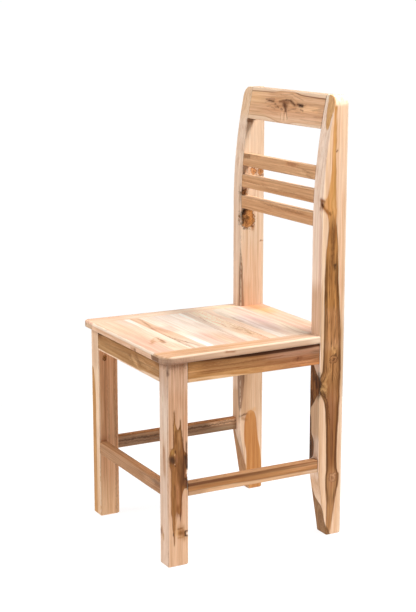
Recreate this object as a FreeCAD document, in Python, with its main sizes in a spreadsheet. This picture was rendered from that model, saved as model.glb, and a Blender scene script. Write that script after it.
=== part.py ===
import FreeCAD, Part
import Sketcher
import math
import os

# A plain side chair in solid wood.
#
# Frame: +Z up, millimetres. The floor is z = 0. The chair faces -Y, +X is the
# sitter's left. The origin is the middle of the chair's outline on the floor.
# Every piece is drawn in its own local frame and then placed in the chair.

doc = FreeCAD.newDocument("side_chair")
sheet = doc.addObject("Spreadsheet::Sheet", "params")

# ---------------------------------------------------------------- dimensions
TABLE = [
    # frame
    ("half_width", 188.0),       # legs' and posts' outer faces from the middle
    ("front_plane", 205.5),      # legs' front faces, in front of the middle
    ("back_plane", 216.5),       # posts' back faces, behind the middle
    ("seat_height", 450.0),      # top of the seat
    ("total_height", 953.0),     # top of the posts
    ("ease", 1.6),               # worked edges of the frame
    ("foot_ease", 2.5),          # bottom edges of the feet
    # front legs
    ("leg_width", 36.0),
    ("leg_depth", 47.0),
    # rear posts
    ("post_width", 36.0),
    ("post_depth", 60.5),
    ("foot_depth", 36.5),        # post at the floor
    ("knee_height", 147.0),      # where the lower taper begins
    ("sweep_height", 690.0),     # where the front edge starts to lean back
    ("sweep_radius", 1180.0),
    ("shoulder_round", 21.0),    # rounded outer top corner
    # aprons
    ("apron_thick", 20.0),
    ("apron_drop", 45.0),
    # stretchers
    ("bar_thick", 18.0),
    ("bar_tall", 28.0),
    ("bar_low", 148.5),          # underside of the stretchers
    # back slats and crest rail
    ("slat_tall", 29.0),
    ("slat_thick", 18.0),
    ("slat_mid_upper", 791.5),
    ("slat_mid_middle", 743.0),
    ("slat_mid_lower", 694.5),
    ("slat_back_set", 0.8),      # slats' faces behind the posts' front edges
    ("crest_tall", 71.0),
    ("crest_thick", 20.0),
    ("crest_lean", 11.0),        # degrees back from upright
    # joints
    ("tenon_thick", 8.0),
    ("tenon_long", 26.0),        # into the depth of a leg or post
    ("tenon_side", 22.0),        # into the width of a leg or post
    ("tenon_shoulder", 4.0),     # shoulder above and below a tenon
    # seat
    ("seat_thick", 16.0),
    ("seat_front_over", 13.0),
    ("seat_rear_over", 2.0),
    ("seat_side_front", 200.0),  # half width of the seat at the legs' fronts
    ("seat_side_rear", 189.0),   # half width of the seat at the posts
    ("seat_rail_inner", 152.0),
    ("seat_corner", 26.0),       # left front corner of the seat
    ("seat_corner_right", 11.0),  # the right one is rounded less
    ("seat_round_top", 4.0),
    ("seat_round_low", 2.5),
    ("joint_line_a", -128.5),    # joints between the seat boards
    ("joint_line_b", -76.5),
    ("joint_line_c", 0.0),
    ("joint_line_d", 55.5),
    ("tongue_thick", 6.0),
    ("tongue_long", 8.0),
    ("tongue_start", -192.5),
    # hidden hardware
    ("dowel_radius", 4.0),
    ("dowel_half", 14.0),        # half the length of a dowel
    ("dowel_place", 95.0),       # dowels either side of the middle
    ("block_tall", 28.0),
    ("block_front_leg", 38.0),   # block's run along the side apron, front
    ("block_rear_leg", 30.0),    # block's run along the side apron, rear
    ("screw_radius", 2.0),
    ("screw_head_radius", 4.0),
    ("screw_head_tall", 3.2),
    ("block_screw_long", 43.0),
    ("seat_screw_long", 38.0),
    ("screw_slot_wide", 1.0),
    ("screw_slot_deep", 1.2),
]

row = 1
for alias, value in TABLE:
    sheet.set("A%d" % row, alias)
    sheet.set("B%d" % row, repr(value))
    sheet.setAlias("B%d" % row, alias)
    row += 1
doc.recompute()


class Q(object):
    """A number together with the sheet expression that gives it."""

    def __init__(self, v, e):
        self.v = float(v)
        self.e = e

    def __add__(self, o):
        o = q(o)
        return Q(self.v + o.v, "(%s + %s)" % (self.e, o.e))

    def __radd__(self, o):
        return q(o) + self

    def __sub__(self, o):
        o = q(o)
        return Q(self.v - o.v, "(%s - %s)" % (self.e, o.e))

    def __rsub__(self, o):
        return q(o) - self

    def __mul__(self, o):
        o = q(o)
        return Q(self.v * o.v, "(%s * %s)" % (self.e, o.e))

    def __rmul__(self, o):
        return q(o) * self

    def __truediv__(self, o):
        o = q(o)
        return Q(self.v / o.v, "(%s / %s)" % (self.e, o.e))

    def __neg__(self):
        return Q(-self.v, "(0 - %s)" % self.e)


def q(x):
    if isinstance(x, Q):
        return x
    return Q(x, "%.9g" % x if x >= 0 else "(0 - %.9g)" % -x)


def p(alias):
    for name, value in TABLE:
        if name == alias:
            return Q(value, "params." + alias)
    raise KeyError(alias)


def root(x):
    return Q(math.sqrt(x.v), "sqrt(%s)" % x.e)


def arcsin(x):
    return Q(math.degrees(math.asin(x.v)), "(asin(%s) / 1 deg)" % x.e)


def cosine(x):
    return Q(math.cos(math.radians(x.v)), "cos(%s * 1 deg)" % x.e)


def sine(x):
    return Q(math.sin(math.radians(x.v)), "sin(%s * 1 deg)" % x.e)


# ------------------------------------------------------------------- helpers
def bind(obj, prop, value):
    value = q(value)
    obj.setExpression(prop, value.e)
    return value.v


def body(label):
    b = doc.addObject("PartDesign::Body", label)
    b.Label = label
    return b


def plane(b, role):
    for f in b.Origin.OriginFeatures:
        if f.Role == role:
            return f
    raise KeyError(role)


def place(b, x, y, z, tilt=None):
    """Puts a body in the chair, tilted about its own X axis if asked."""
    rot = FreeCAD.Rotation()
    if tilt is not None:
        rot = FreeCAD.Rotation(FreeCAD.Vector(1, 0, 0), tilt.v)
    b.Placement = FreeCAD.Placement(FreeCAD.Vector(q(x).v, q(y).v, q(z).v), rot)
    bind(b, "Placement.Base.x", x)
    bind(b, "Placement.Base.y", y)
    bind(b, "Placement.Base.z", z)
    if tilt is not None:
        bind(b, "Placement.Rotation.Angle", tilt)


def outline(b, name, role, pts, lift=None):
    """Closed sketch through pts. A point is (x, y), or (x, y, radius, side)
    where the edge that arrives at it is an arc whose centre lies on that side
    (+1 left, -1 right of the way it runs)."""
    s = b.newObject("Sketcher::SketchObject", name)
    s.AttachmentSupport = (plane(b, role), [""])
    s.MapMode = "FlatFace"
    if lift is not None:
        s.AttachmentOffset = FreeCAD.Placement(
            FreeCAD.Vector(0, 0, q(lift).v), FreeCAD.Rotation())
        bind(s, "AttachmentOffset.Base.z", lift)
    n = len(pts)
    ends = []
    for i in range(n):
        a = pts[i - 1]
        c = pts[i]
        va = FreeCAD.Vector(q(a[0]).v, q(a[1]).v, 0)
        vc = FreeCAD.Vector(q(c[0]).v, q(c[1]).v, 0)
        if len(c) == 2:
            g = s.addGeometry(Part.LineSegment(va, vc), False)
            ends.append((g, 1, 2))
        else:
            r = q(c[2]).v
            mid = (va + vc) * 0.5
            d = vc - va
            half = d.Length / 2.0
            nrm = FreeCAD.Vector(-d.y, d.x, 0)
            nrm.normalize()
            off = math.sqrt(r * r - half * half) * c[3]
            ctr = mid + nrm * off
            # an arc runs counter-clockwise from its first angle to its second
            if c[3] > 0:
                first, last = va, vc
            else:
                first, last = vc, va
            a0 = math.atan2(first.y - ctr.y, first.x - ctr.x)
            a1 = math.atan2(last.y - ctr.y, last.x - ctr.x)
            circle = Part.Circle(ctr, FreeCAD.Vector(0, 0, 1), r)
            g = s.addGeometry(Part.ArcOfCircle(circle, a0, a1), False)
            ends.append((g, 1, 2) if c[3] > 0 else (g, 2, 1))
            k = s.addConstraint(Sketcher.Constraint("Radius", g, r))
            s.setExpression("Constraints[%d]" % k, q(c[2]).e)
    for i in range(n):
        g, st, en = ends[i]
        g2, st2, en2 = ends[(i + 1) % n]
        s.addConstraint(Sketcher.Constraint("Coincident", g, en, g2, st2))
    for i in range(n):
        g, st, en = ends[i]
        x = q(pts[i][0])
        y = q(pts[i][1])
        k = s.addConstraint(Sketcher.Constraint("DistanceX", -1, 1, g, en, x.v))
        s.setExpression("Constraints[%d]" % k, x.e)
        k = s.addConstraint(Sketcher.Constraint("DistanceY", -1, 1, g, en, y.v))
        s.setExpression("Constraints[%d]" % k, y.e)
    return s


def pad(b, s, name, length, both=False, back=False):
    f = b.newObject("PartDesign::Pad", name)
    f.Profile = s
    if both:
        f.Midplane = True
    if back:
        f.Reversed = True
    bind(f, "Length", length)
    f.Length = q(length).v
    b.Tip = f
    doc.recompute()
    if f.Shape.isNull() or not f.Shape.isValid():
        raise RuntimeError("bad feature " + f.Name)
    return f


def block(b, name, kind, x, y, z, lx, ly, lz, turn=None, about=None):
    """A rectangular tenon (kind Additive) or mortise (kind Subtractive) whose
    low corner is x, y, z in the body's frame. turn swings it about X around
    the point about = (y, z)."""
    f = b.newObject("PartDesign::%sBox" % kind, name)
    x, y, z = q(x), q(y), q(z)
    f.Length, f.Width, f.Height = q(lx).v, q(ly).v, q(lz).v
    bind(f, "Length", lx)
    bind(f, "Width", ly)
    bind(f, "Height", lz)
    rot = FreeCAD.Rotation()
    if turn is not None:
        c, s_ = cosine(turn), sine(turn)
        dy, dz = y - about[0], z - about[1]
        y2 = q(about[0]) + dy * c - dz * s_
        z2 = q(about[1]) + dy * s_ + dz * c
        y, z = y2, z2
        rot = FreeCAD.Rotation(FreeCAD.Vector(1, 0, 0), turn.v)
    f.Placement = FreeCAD.Placement(FreeCAD.Vector(x.v, y.v, z.v), rot)
    bind(f, "Placement.Base.x", x)
    bind(f, "Placement.Base.y", y)
    bind(f, "Placement.Base.z", z)
    if turn is not None:
        bind(f, "Placement.Rotation.Angle", turn)
    b.Tip = f
    doc.recompute()
    if f.Shape.isNull() or not f.Shape.isValid():
        raise RuntimeError("bad feature " + f.Name)
    return f


def rounded(b, base, name, names, radius, kind="Fillet"):
    f = b.newObject("PartDesign::" + kind, name)
    f.Base = (base, names)
    if kind == "Fillet":
        f.Radius = q(radius).v
        bind(f, "Radius", radius)
    else:
        f.Size = q(radius).v
        bind(f, "Size", radius)
    b.Tip = f
    doc.recompute()
    if f.Shape.isNull() or not f.Shape.isValid():
        raise RuntimeError("bad feature " + f.Name)
    return f


def edges(feature, test):
    """Names of the edges of a feature's solid that pass a test, in the body's
    own frame."""
    out = []
    for i, e in enumerate(feature.Shape.Edges):
        if test(e):
            out.append("Edge%d" % (i + 1))
    if not out:
        raise RuntimeError("no edges found for " + feature.Label)
    return out


def along(e, axis, least=0.0):
    """True for a straight edge parallel to an axis and at least so long."""
    if e.Length < least or len(e.Vertexes) != 2:
        return False
    d = e.Vertexes[1].Point - e.Vertexes[0].Point
    if d.Length < 1e-6 or abs(d.Length - e.Length) > 1e-5:
        return False
    d.normalize()
    return abs(abs(getattr(d, axis)) - 1.0) < 1e-6


def flat_at(e, axis, value, tol=1e-4):
    """True when the whole edge lies in the plane axis = value."""
    bb = e.BoundBox
    lo = getattr(bb, axis.upper() + "Min")
    hi = getattr(bb, axis.upper() + "Max")
    return abs(lo - value) < tol and abs(hi - value) < tol


def corner_slant(e):
    """True for the short edge down the corner of a chamfered foot."""
    bb = e.BoundBox
    return (bb.ZMax < p("foot_ease").v + 1e-3 and bb.ZLength > 1.0
            and bb.XLength > 1.0 and bb.YLength > 0.5)


zero = q(0.0)
hw = p("half_width")
yf = -p("front_plane")
yb = p("back_plane")
seat_low = p("seat_height") - p("seat_thick")
apron_low = seat_low - p("apron_drop")
lw, ld = p("leg_width"), p("leg_depth")
pw, pd = p("post_width"), p("post_depth")
at, ad = p("apron_thick"), p("apron_drop")
bt, bh, bl = p("bar_thick"), p("bar_tall"), p("bar_low")
tt, tl, ts, tsh = (p("tenon_thick"), p("tenon_long"), p("tenon_side"),
                   p("tenon_shoulder"))
post_front = yb - pd            # straight part of the posts' front faces
inner = hw - lw                 # legs' and posts' inner faces

# where tenons lie in a rail's thickness
apron_in = (at - tt) / 2.0
bar_in = (bt - tt) / 2.0

# The swept front edge of a post, measured from the post's straight front.
rise_top = p("total_height") - p("sweep_height")
R = p("sweep_radius")


def sweep(z):
    """How far the post's front edge has leant back at height z."""
    h = q(z) - p("sweep_height")
    return R - root(R * R - h * h)


def lean(z):
    """Slope of the front edge at height z, in degrees from vertical."""
    return arcsin((q(z) - p("sweep_height")) / R)


# ---------------------------------------------------------------- back rails
# Each is (name, mid height or None, thickness, height, tilt, y of the front
# face at mid height, z of mid height).
crest_tilt = p("crest_lean")
crest_mid = p("total_height") - p("crest_tall") / 2.0 * cosine(crest_tilt)
crest_low = crest_mid - p("crest_tall") / 2.0
slat_rows = []
for which in ("upper", "middle", "lower"):
    zc = p("slat_mid_" + which)
    slat_rows.append((which, zc, lean(zc), post_front + sweep(zc)
                      + p("slat_back_set")))
crest_face = post_front + sweep(crest_mid) + 0.3

# --------------------------------------------------------------- front legs
# Local frame: origin at the foot's centre.
for label, sx in (("front_leg_left", 1), ("front_leg_right", -1)):
    b = body(label)
    hx, hy = lw / 2.0, ld / 2.0
    s = outline(b, label + "_section", "XY_Plane",
                [(-hx, -hy), (hx, -hy), (hx, hy), (-hx, hy)])
    stock = pad(b, s, label + "_stock", seat_low)
    f = rounded(b, stock, label + "_foot",
                edges(stock, lambda e: flat_at(e, "z", 0.0)), p("foot_ease"),
                "Chamfer")
    f = rounded(b, f, label + "_edges",
                edges(f, lambda e: along(e, "z", 100) or corner_slant(e)),
                p("ease"))
    # mortises: side apron and side stretcher from behind, front apron and
    # front stretcher from the inner side
    cx = hw - hx                           # leg centre in the chair
    cy = yf + hy
    for part, low, tall, thick, inset in (
            ("apron", apron_low, ad, at, apron_in),
            ("bar", bl, bh, bt, bar_in)):
        z0 = low + tsh
        hz = tall - 2 * tsh
        # side rail: outer face flush with the leg's outer face
        x_hi = hx - inset
        x0 = (x_hi - tt) if sx > 0 else -x_hi
        block(b, label + "_mortise_side_" + part, "Subtractive",
              x0, hy - tl, z0, tt, tl, hz)
        # front rail: outer face flush with the leg's front face
        y0 = -hy + inset
        x0 = -hx if sx > 0 else hx - ts
        block(b, label + "_mortise_front_" + part, "Subtractive",
              x0, y0, z0, ts, tt, hz)
    place(b, cx if sx > 0 else -cx, cy, zero)

# --------------------------------------------------------------- rear posts
# Local frame: origin on the floor, X across the post's middle, Y from the
# straight front face towards the back.
for label, sx in (("rear_post_left", 1), ("rear_post_right", -1)):
    b = body(label)
    hx = pw / 2.0
    top_y = R - root(R * R - rise_top * rise_top)
    toe = pd - p("foot_depth")
    # a soft knee: an arc that joins the taper to the straight front
    slope = math.degrees(math.atan2(toe.v, p("knee_height").v))
    kn = p("knee_height")
    soft = q(14.0)
    flank = root(toe * toe + kn * kn)
    kx = toe * soft / flank
    kz = kn - kn * soft / flank
    # radius of an arc tangent to both, from half the turn
    knee_r = Q(soft.v / math.tan(math.radians(slope) / 2.0),
               "(%s / tan(atan(%s / %s) / 2))" % (soft.e, toe.e, kn.e))
    fe = p("foot_ease")
    s = outline(b, label + "_side", "YZ_Plane",
                [(toe + fe, zero),
                 (pd - fe, zero),
                 (pd, fe),
                 (pd, p("total_height")),
                 (top_y, p("total_height")),
                 (zero, p("sweep_height"), R, 1),
                 (zero, kn + soft),
                 (kx, kz, knee_r, 1),
                 (toe - toe * fe / kn, fe)])
    stock = pad(b, s, label + "_stock", pw, both=True)
    outer = hx.v * sx
    zt = p("total_height").v
    f = rounded(b, stock, label + "_shoulder",
                edges(stock, lambda e: along(e, "y", 10)
                      and flat_at(e, "z", zt) and flat_at(e, "x", outer)),
                p("shoulder_round"))
    # eased edges: the outlines of both side faces, over the rounded shoulder
    seam = zt - p("shoulder_round").v
    cap = hx.v - p("shoulder_round").v

    def side_edge(e):
        if flat_at(e, "x", outer):
            return not flat_at(e, "z", seam)
        if flat_at(e, "x", -outer):
            return True
        if e.BoundBox.ZMin < seam - 1e-3:
            return False
        return not flat_at(e, "x", cap * sx)
    f = rounded(b, f, label + "_edges", edges(f, side_edge), p("ease"))
    # side apron and side stretcher enter the front face
    for part, low, tall, thick, inset in (
            ("apron", apron_low, ad, at, apron_in),
            ("bar", bl, bh, bt, bar_in)):
        x_hi = hx - inset
        x0 = (x_hi - tt) if sx > 0 else -x_hi
        block(b, label + "_mortise_" + part, "Subtractive",
              x0, zero, low + tsh, tt, tl, tall - 2 * tsh)
    # rear apron enters the inner face, flush with the back
    xin = -hx if sx > 0 else hx - ts
    block(b, label + "_mortise_rear_apron", "Subtractive",
          xin, pd - apron_in - tt, apron_low + tsh, ts, tt, ad - 2 * tsh)
    # slats and crest rail
    for which, zc, tilt, face in slat_rows:
        y_c = face - post_front
        ins = (p("slat_thick") - tt) / 2.0
        block(b, label + "_mortise_" + which, "Subtractive",
              xin, y_c + ins, zc - p("slat_tall") / 2.0 + tsh,
              ts, tt, p("slat_tall") - 2 * tsh,
              turn=-tilt, about=(y_c, zc))
    y_c = crest_face - post_front
    ins = (p("crest_thick") - tt) / 2.0
    block(b, label + "_mortise_crest", "Subtractive",
          xin, y_c + ins, crest_low + 2 * tsh, ts, tt,
          p("crest_tall") - 4 * tsh, turn=-crest_tilt, about=(y_c, crest_mid))
    place(b, (hw - hx) if sx > 0 else -(hw - hx), post_front, zero)


# -------------------------------------------------------------- cross rails
def cross_rail(label, span, thick, tall, y_face, low, shoulder, ease_back=True):
    """A rail along X with a tenon on each end. Local frame: origin at the
    middle of the front face's lower edge, Y into the thickness."""
    b = body(label)
    half = span / 2.0
    s = outline(b, label + "_section", "YZ_Plane",
                [(zero, zero), (thick, zero), (thick, tall), (zero, tall)])
    stock = pad(b, s, label + "_stock", span, both=True)
    f = rounded(b, stock, label + "_edges",
                edges(stock, lambda e: along(e, "x", 100)), p("ease"))
    inset = (thick - tt) / 2.0
    for end, x0 in (("left", half), ("right", -half - ts)):
        block(b, label + "_tenon_" + end, "Additive",
              x0, inset, shoulder, ts, tt, tall - 2 * shoulder)
    place(b, zero, y_face, low)
    return b


span_x = 2 * inner
cross_rail("apron_front", span_x, at, ad, yf, apron_low, tsh)
cross_rail("apron_back", span_x, at, ad, yb - at, apron_low, tsh)
cross_rail("stretcher_front", span_x, bt, bh, yf, bl, tsh)


def long_rail(label, sx, thick, tall, low):
    """A rail along Y with a tenon on each end. Local frame: origin at the
    front end, on the outer face's lower edge; X runs inwards or outwards."""
    b = body(label)
    y_a = yf + ld
    span = post_front - y_a
    x0 = -thick if sx > 0 else zero
    x1 = zero if sx > 0 else thick
    s = outline(b, label + "_section", "XZ_Plane",
                [(x0, zero), (x1, zero), (x1, tall), (x0, tall)])
    # the XZ plane's normal points to -Y, so the stock runs the other way
    stock = pad(b, s, label + "_stock", span, back=True)
    f = rounded(b, stock, label + "_edges",
                edges(stock, lambda e: along(e, "y", 100)), p("ease"))
    inset = (thick - tt) / 2.0
    xt = (-inset - tt) if sx > 0 else inset
    for end, y0 in (("front", -tl), ("rear", span)):
        block(b, label + "_tenon_" + end, "Additive",
              xt, y0, tsh, tt, tl, tall - 2 * tsh)
    place(b, hw if sx > 0 else -hw, y_a, low)


for name, sx in (("left", 1), ("right", -1)):
    long_rail("apron_" + name, sx, at, ad, apron_low)
    long_rail("stretcher_" + name, sx, bt, bh, bl)


# -------------------------------------------------------- slats, crest rail
def back_rail(label, thick, tall, shoulder, face, mid, tilt, level=False):
    """A rail of the back. Local frame: origin at the middle of the front
    face, tilted back with the posts' swept edge. A level rail's top is planed
    flat with the posts' tops."""
    b = body(label)
    half = span_x / 2.0
    back_top = tall / 2.0
    if level:
        back_top = back_top + thick * sine(tilt) / cosine(tilt)
    s = outline(b, label + "_section", "YZ_Plane",
                [(zero, -tall / 2.0), (thick, -tall / 2.0),
                 (thick, back_top), (zero, tall / 2.0)])
    stock = pad(b, s, label + "_stock", span_x, both=True)
    f = rounded(b, stock, label + "_edges",
                edges(stock, lambda e: along(e, "x", 100)), p("ease"))
    inset = (thick - tt) / 2.0
    for end, x0 in (("left", half), ("right", -half - ts)):
        block(b, label + "_tenon_" + end, "Additive",
              x0, inset, -tall / 2.0 + shoulder, ts, tt, tall - 2 * shoulder)
    place(b, zero, face, mid, -tilt)


for which, zc, tilt, face in slat_rows:
    back_rail("back_slat_" + which, p("slat_thick"), p("slat_tall"), tsh,
              face, zc, tilt)
back_rail("crest_rail", p("crest_thick"), p("crest_tall"), 2 * tsh,
          crest_face, crest_mid, crest_tilt, level=True)

# --------------------------------------------------------------------- seat
st = p("seat_thick")
front_edge = yf - p("seat_front_over")
rear_edge = yb + p("seat_rear_over")
ri = p("seat_rail_inner")
tg, tg_l = p("tongue_thick"), p("tongue_long")
tg_z = (st - tg) / 2.0

# Side rails. Local frame: the chair's own X and Y, z = 0 at the underside.
# The outer edge runs from the front half width to the narrower rear one; the
# front corner is an arc.
for label, sx in (("seat_rail_left", 1), ("seat_rail_right", -1)):
    b = body(label)
    run = post_front - yf
    xa = p("seat_side_front")                # at the legs' fronts
    xb = p("seat_side_rear")                 # at the posts
    taper = (xa - xb) / run
    x_corner = xa + taper * p("seat_front_over")
    rc = p("seat_corner") if sx > 0 else p("seat_corner_right")
    pts = [(ri, front_edge), (x_corner, front_edge),
           (xb, post_front), (ri, post_front)]
    if sx < 0:
        pts = [(-x, y) for x, y in reversed(pts)]
    s = outline(b, label + "_plan", "XY_Plane", pts)
    stock = pad(b, s, label + "_stock", st)
    fy = front_edge.v
    f = rounded(b, stock, label + "_corner",
                edges(stock, lambda e: along(e, "z", 5)
                      and flat_at(e, "y", fy)
                      and abs(e.BoundBox.XMin) > ri.v + 5), rc)
    top, low = st.v, 0.0
    ax = ri.v
    py = post_front.v

    def rim(e, z):
        return (flat_at(e, "z", z)
                and not flat_at(e, "x", ax * sx)
                and not flat_at(e, "y", py))
    f = rounded(b, f, label + "_round_top", edges(f, lambda e: rim(e, top)),
                p("seat_round_top"))
    f = rounded(b, f, label + "_round_low", edges(f, lambda e: rim(e, low)),
                p("seat_round_low"))
    g_run = post_front - p("tongue_start")
    block(b, label + "_groove", "Subtractive",
          ri if sx > 0 else -ri - tg_l, p("tongue_start"), tg_z,
          tg_l, g_run, tg)
    place(b, zero, zero, seat_low)

# Cross boards, front to back. Local frame: the chair's own X and Y.
lines = [front_edge, p("joint_line_a"), p("joint_line_b"), p("joint_line_c"),
         p("joint_line_d"), post_front, rear_edge]
dr, dh, dp = p("dowel_radius"), p("dowel_half"), p("dowel_place")
for i in range(6):
    label = "seat_board_%d" % (i + 1)
    b = body(label)
    y0, y1 = lines[i], lines[i + 1]
    s = outline(b, label + "_plan", "XY_Plane",
                [(-ri, y0), (ri, y0), (ri, y1), (-ri, y1)])
    stock = pad(b, s, label + "_stock", st)
    f = stock
    if i in (0, 5):
        edge_y = y0.v if i == 0 else y1.v
        f = rounded(b, f, label + "_round_top",
                    edges(f, lambda e: flat_at(e, "z", st.v)
                          and flat_at(e, "y", edge_y)), p("seat_round_top"))
        f = rounded(b, f, label + "_round_low",
                    edges(f, lambda e: flat_at(e, "z", 0.0)
                          and flat_at(e, "y", edge_y)), p("seat_round_low"))
    if i < 5:
        t0 = p("tongue_start") if i == 0 else y0
        for end, x0 in (("left", ri), ("right", -ri - tg_l)):
            block(b, label + "_tongue_" + end, "Additive",
                  x0, t0, tg_z, tg_l, y1 - t0, tg)
    # dowel holes in the edges that meet another board
    for side, yy, way in (("front", y0, 1), ("rear", y1, -1)):
        if (i == 0 and side == "front") or (i == 5 and side == "rear"):
            continue
        for tag, xx in (("left", dp), ("right", -dp)):
            h_ = b.newObject("PartDesign::SubtractiveCylinder",
                             "%s_hole_%s_%s" % (label, side, tag))
            h_.Radius = dr.v
            h_.Height = dh.v
            bind(h_, "Radius", dr)
            bind(h_, "Height", dh)
            rot = FreeCAD.Rotation(FreeCAD.Vector(1, 0, 0), -90 * way)
            zz = st / 2.0
            h_.Placement = FreeCAD.Placement(
                FreeCAD.Vector(xx.v, yy.v, zz.v), rot)
            bind(h_, "Placement.Base.x", xx)
            bind(h_, "Placement.Base.y", yy)
            bind(h_, "Placement.Base.z", zz)
            b.Tip = h_
            doc.recompute()
    place(b, zero, zero, seat_low)

# ------------------------------------------------------------ corner blocks
# Each block fills an inner corner of the apron frame around the leg or post
# and is cut off at 45 degrees. A screw square to the cut runs into the leg or
# post, and a second one runs up into the seat.
bk = p("block_tall")
block_low = seat_low - bk
ax_in = hw - at                       # side aprons' inner faces
ay_front = yf + at                    # front apron's inner face
ay_rear = yb - at                     # rear apron's inner face
leg_back = yf + ld
m1 = p("block_front_leg")
n1 = m1 + (leg_back - ay_front) - (ax_in - inner)
m2 = p("block_rear_leg")
n2 = m2 + (ay_rear - post_front) - (ax_in - inner)

front_poly = [(inner - n1, ay_front), (inner, ay_front), (inner, leg_back),
              (ax_in, leg_back), (ax_in, leg_back + m1)]
rear_poly = [(ax_in, post_front - m2), (ax_in, post_front),
             (inner, post_front), (inner, ay_rear), (inner - n2, ay_rear)]

# the screws: (foot x, foot y) on the cut face's middle, direction, and the
# upright screw's place
fx = (inner - n1 + ax_in) / 2.0
fy_ = (ay_front + leg_back + m1) / 2.0
rx = (inner - n2 + ax_in) / 2.0
ry = (ay_rear + post_front - m2) / 2.0
up_front = (inner - 22.0, ay_front + 14.0)
up_rear = (inner - 22.0, ay_rear - 14.0)
zc_screw = block_low + bk / 2.0


def screw(lng):
    """A countersunk wood screw pointing up +Z, its head's face at z = 0."""
    r, hr, hh = (p("screw_radius").v, p("screw_head_radius").v,
                 p("screw_head_tall").v)
    tip = 6.0
    pts = [(0, 0), (hr, 0), (r, hh), (r, lng - tip), (0.0, lng)]
    w = Part.makePolygon([FreeCAD.Vector(x, 0, z) for x, z in pts]
                         + [FreeCAD.Vector(0, 0, 0)])
    return Part.Face(w).revolve(FreeCAD.Vector(0, 0, 0),
                                FreeCAD.Vector(0, 0, 1), 360)


def slotted(shape):
    """Cuts the driver slot across the head."""
    w, d = p("screw_slot_wide").v, p("screw_slot_deep").v
    hr = p("screw_head_radius").v
    return shape.cut(Part.makeBox(4 * hr, w, d,
                                  FreeCAD.Vector(-2 * hr, -w / 2.0, 0)))


def aim(shape, base, direction):
    s2 = shape.copy()
    s2.Placement = FreeCAD.Placement(
        base, FreeCAD.Rotation(FreeCAD.Vector(0, 0, 1), direction))
    return s2


r2 = math.sqrt(0.5)
corners = [
    ("corner_block_front_left", 1, front_poly, (fx, fy_), (r2, -r2), up_front),
    ("corner_block_front_right", -1, front_poly, (fx, fy_), (r2, -r2),
     up_front),
    ("corner_block_rear_left", 1, rear_poly, (rx, ry), (r2, r2), up_rear),
    ("corner_block_rear_right", -1, rear_poly, (rx, ry), (r2, r2), up_rear),
]
block_screw_places = []
seat_screw_places = []
for label, sx, poly, foot, way, up in corners:
    base = FreeCAD.Vector(foot[0].v * sx, foot[1].v, zc_screw.v)
    direction = FreeCAD.Vector(way[0] * sx, way[1], 0)
    block_screw_places.append((base, direction))
    ubase = FreeCAD.Vector(up[0].v * sx, up[1].v, block_low.v)
    seat_screw_places.append((ubase, FreeCAD.Vector(0, 0, 1)))

block_screw_shape = screw(p("block_screw_long").v)
seat_screw_shape = screw(p("seat_screw_long").v)
block_screw_cuts = [aim(block_screw_shape, a, d)
                    for a, d in block_screw_places]
seat_screw_cuts = [aim(seat_screw_shape, a, d) for a, d in seat_screw_places]


def drilled(b, places, lng, tag):
    """Bores a screw's own form out of a body. places holds (base, direction)
    in the chair's frame; the body may be shifted but not turned."""
    off = b.Placement.Base
    for k, (base, direction) in enumerate(places):
        rot = FreeCAD.Rotation(FreeCAD.Vector(0, 0, 1), direction)
        for part in ("shank", "head", "tip"):
            if part == "shank":
                f = b.newObject("PartDesign::SubtractiveCylinder",
                                "%s_%s_%s_%d" % (b.Label, tag, part, k))
                bind(f, "Radius", p("screw_radius"))
                f.Radius = p("screw_radius").v
                ln = lng - p("screw_head_tall") - 6.0
                f.Height = ln.v
                bind(f, "Height", ln)
                start = p("screw_head_tall").v
            elif part == "head":
                f = b.newObject("PartDesign::SubtractiveCone",
                                "%s_%s_%s_%d" % (b.Label, tag, part, k))
                f.Radius1 = p("screw_head_radius").v
                f.Radius2 = p("screw_radius").v
                f.Height = p("screw_head_tall").v
                bind(f, "Radius1", p("screw_head_radius"))
                bind(f, "Radius2", p("screw_radius"))
                bind(f, "Height", p("screw_head_tall"))
                start = 0.0
            else:
                f = b.newObject("PartDesign::SubtractiveCone",
                                "%s_%s_%s_%d" % (b.Label, tag, part, k))
                f.Radius1 = p("screw_radius").v
                f.Radius2 = 0.0
                f.Height = 6.0
                bind(f, "Radius1", p("screw_radius"))
                start = lng.v - 6.0
            at_ = base + direction * start - off
            f.Placement = FreeCAD.Placement(at_, rot)
            b.Tip = f
            doc.recompute()
            if not f.Shape.isValid() or "Invalid" in f.State:
                raise RuntimeError("drilling failed in " + f.Name)


for k, (label, sx, poly, foot, way, up) in enumerate(corners):
    b = body(label)
    pts = list(poly) if sx > 0 else [(-x, y) for x, y in reversed(poly)]
    s = outline(b, label + "_plan", "XY_Plane", pts)
    pad(b, s, label + "_stock", bk)
    place(b, zero, zero, block_low)
    doc.recompute()
    drilled(b, [block_screw_places[k]], p("block_screw_long"), "leg_screw")
    drilled(b, [seat_screw_places[k]], p("seat_screw_long"), "seat_screw")

# the screws' pilot holes in the legs, posts and seat boards
for k, name in enumerate(("front_leg_left", "front_leg_right",
                          "rear_post_left", "rear_post_right")):
    drilled(doc.getObject(name), [block_screw_places[k]],
            p("block_screw_long"), "pilot")
drilled(doc.getObject("seat_board_1"), seat_screw_places[:2],
        p("seat_screw_long"), "pilot")
drilled(doc.getObject("seat_board_6"), seat_screw_places[2:],
        p("seat_screw_long"), "pilot")


# -------------------------------------------------- groups of like fasteners
def group(label, shapes):
    f = doc.addObject("Part::Feature", label)
    f.Label = label
    f.Shape = Part.makeCompound(shapes)
    f.Placement = FreeCAD.Placement()
    return f


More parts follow.
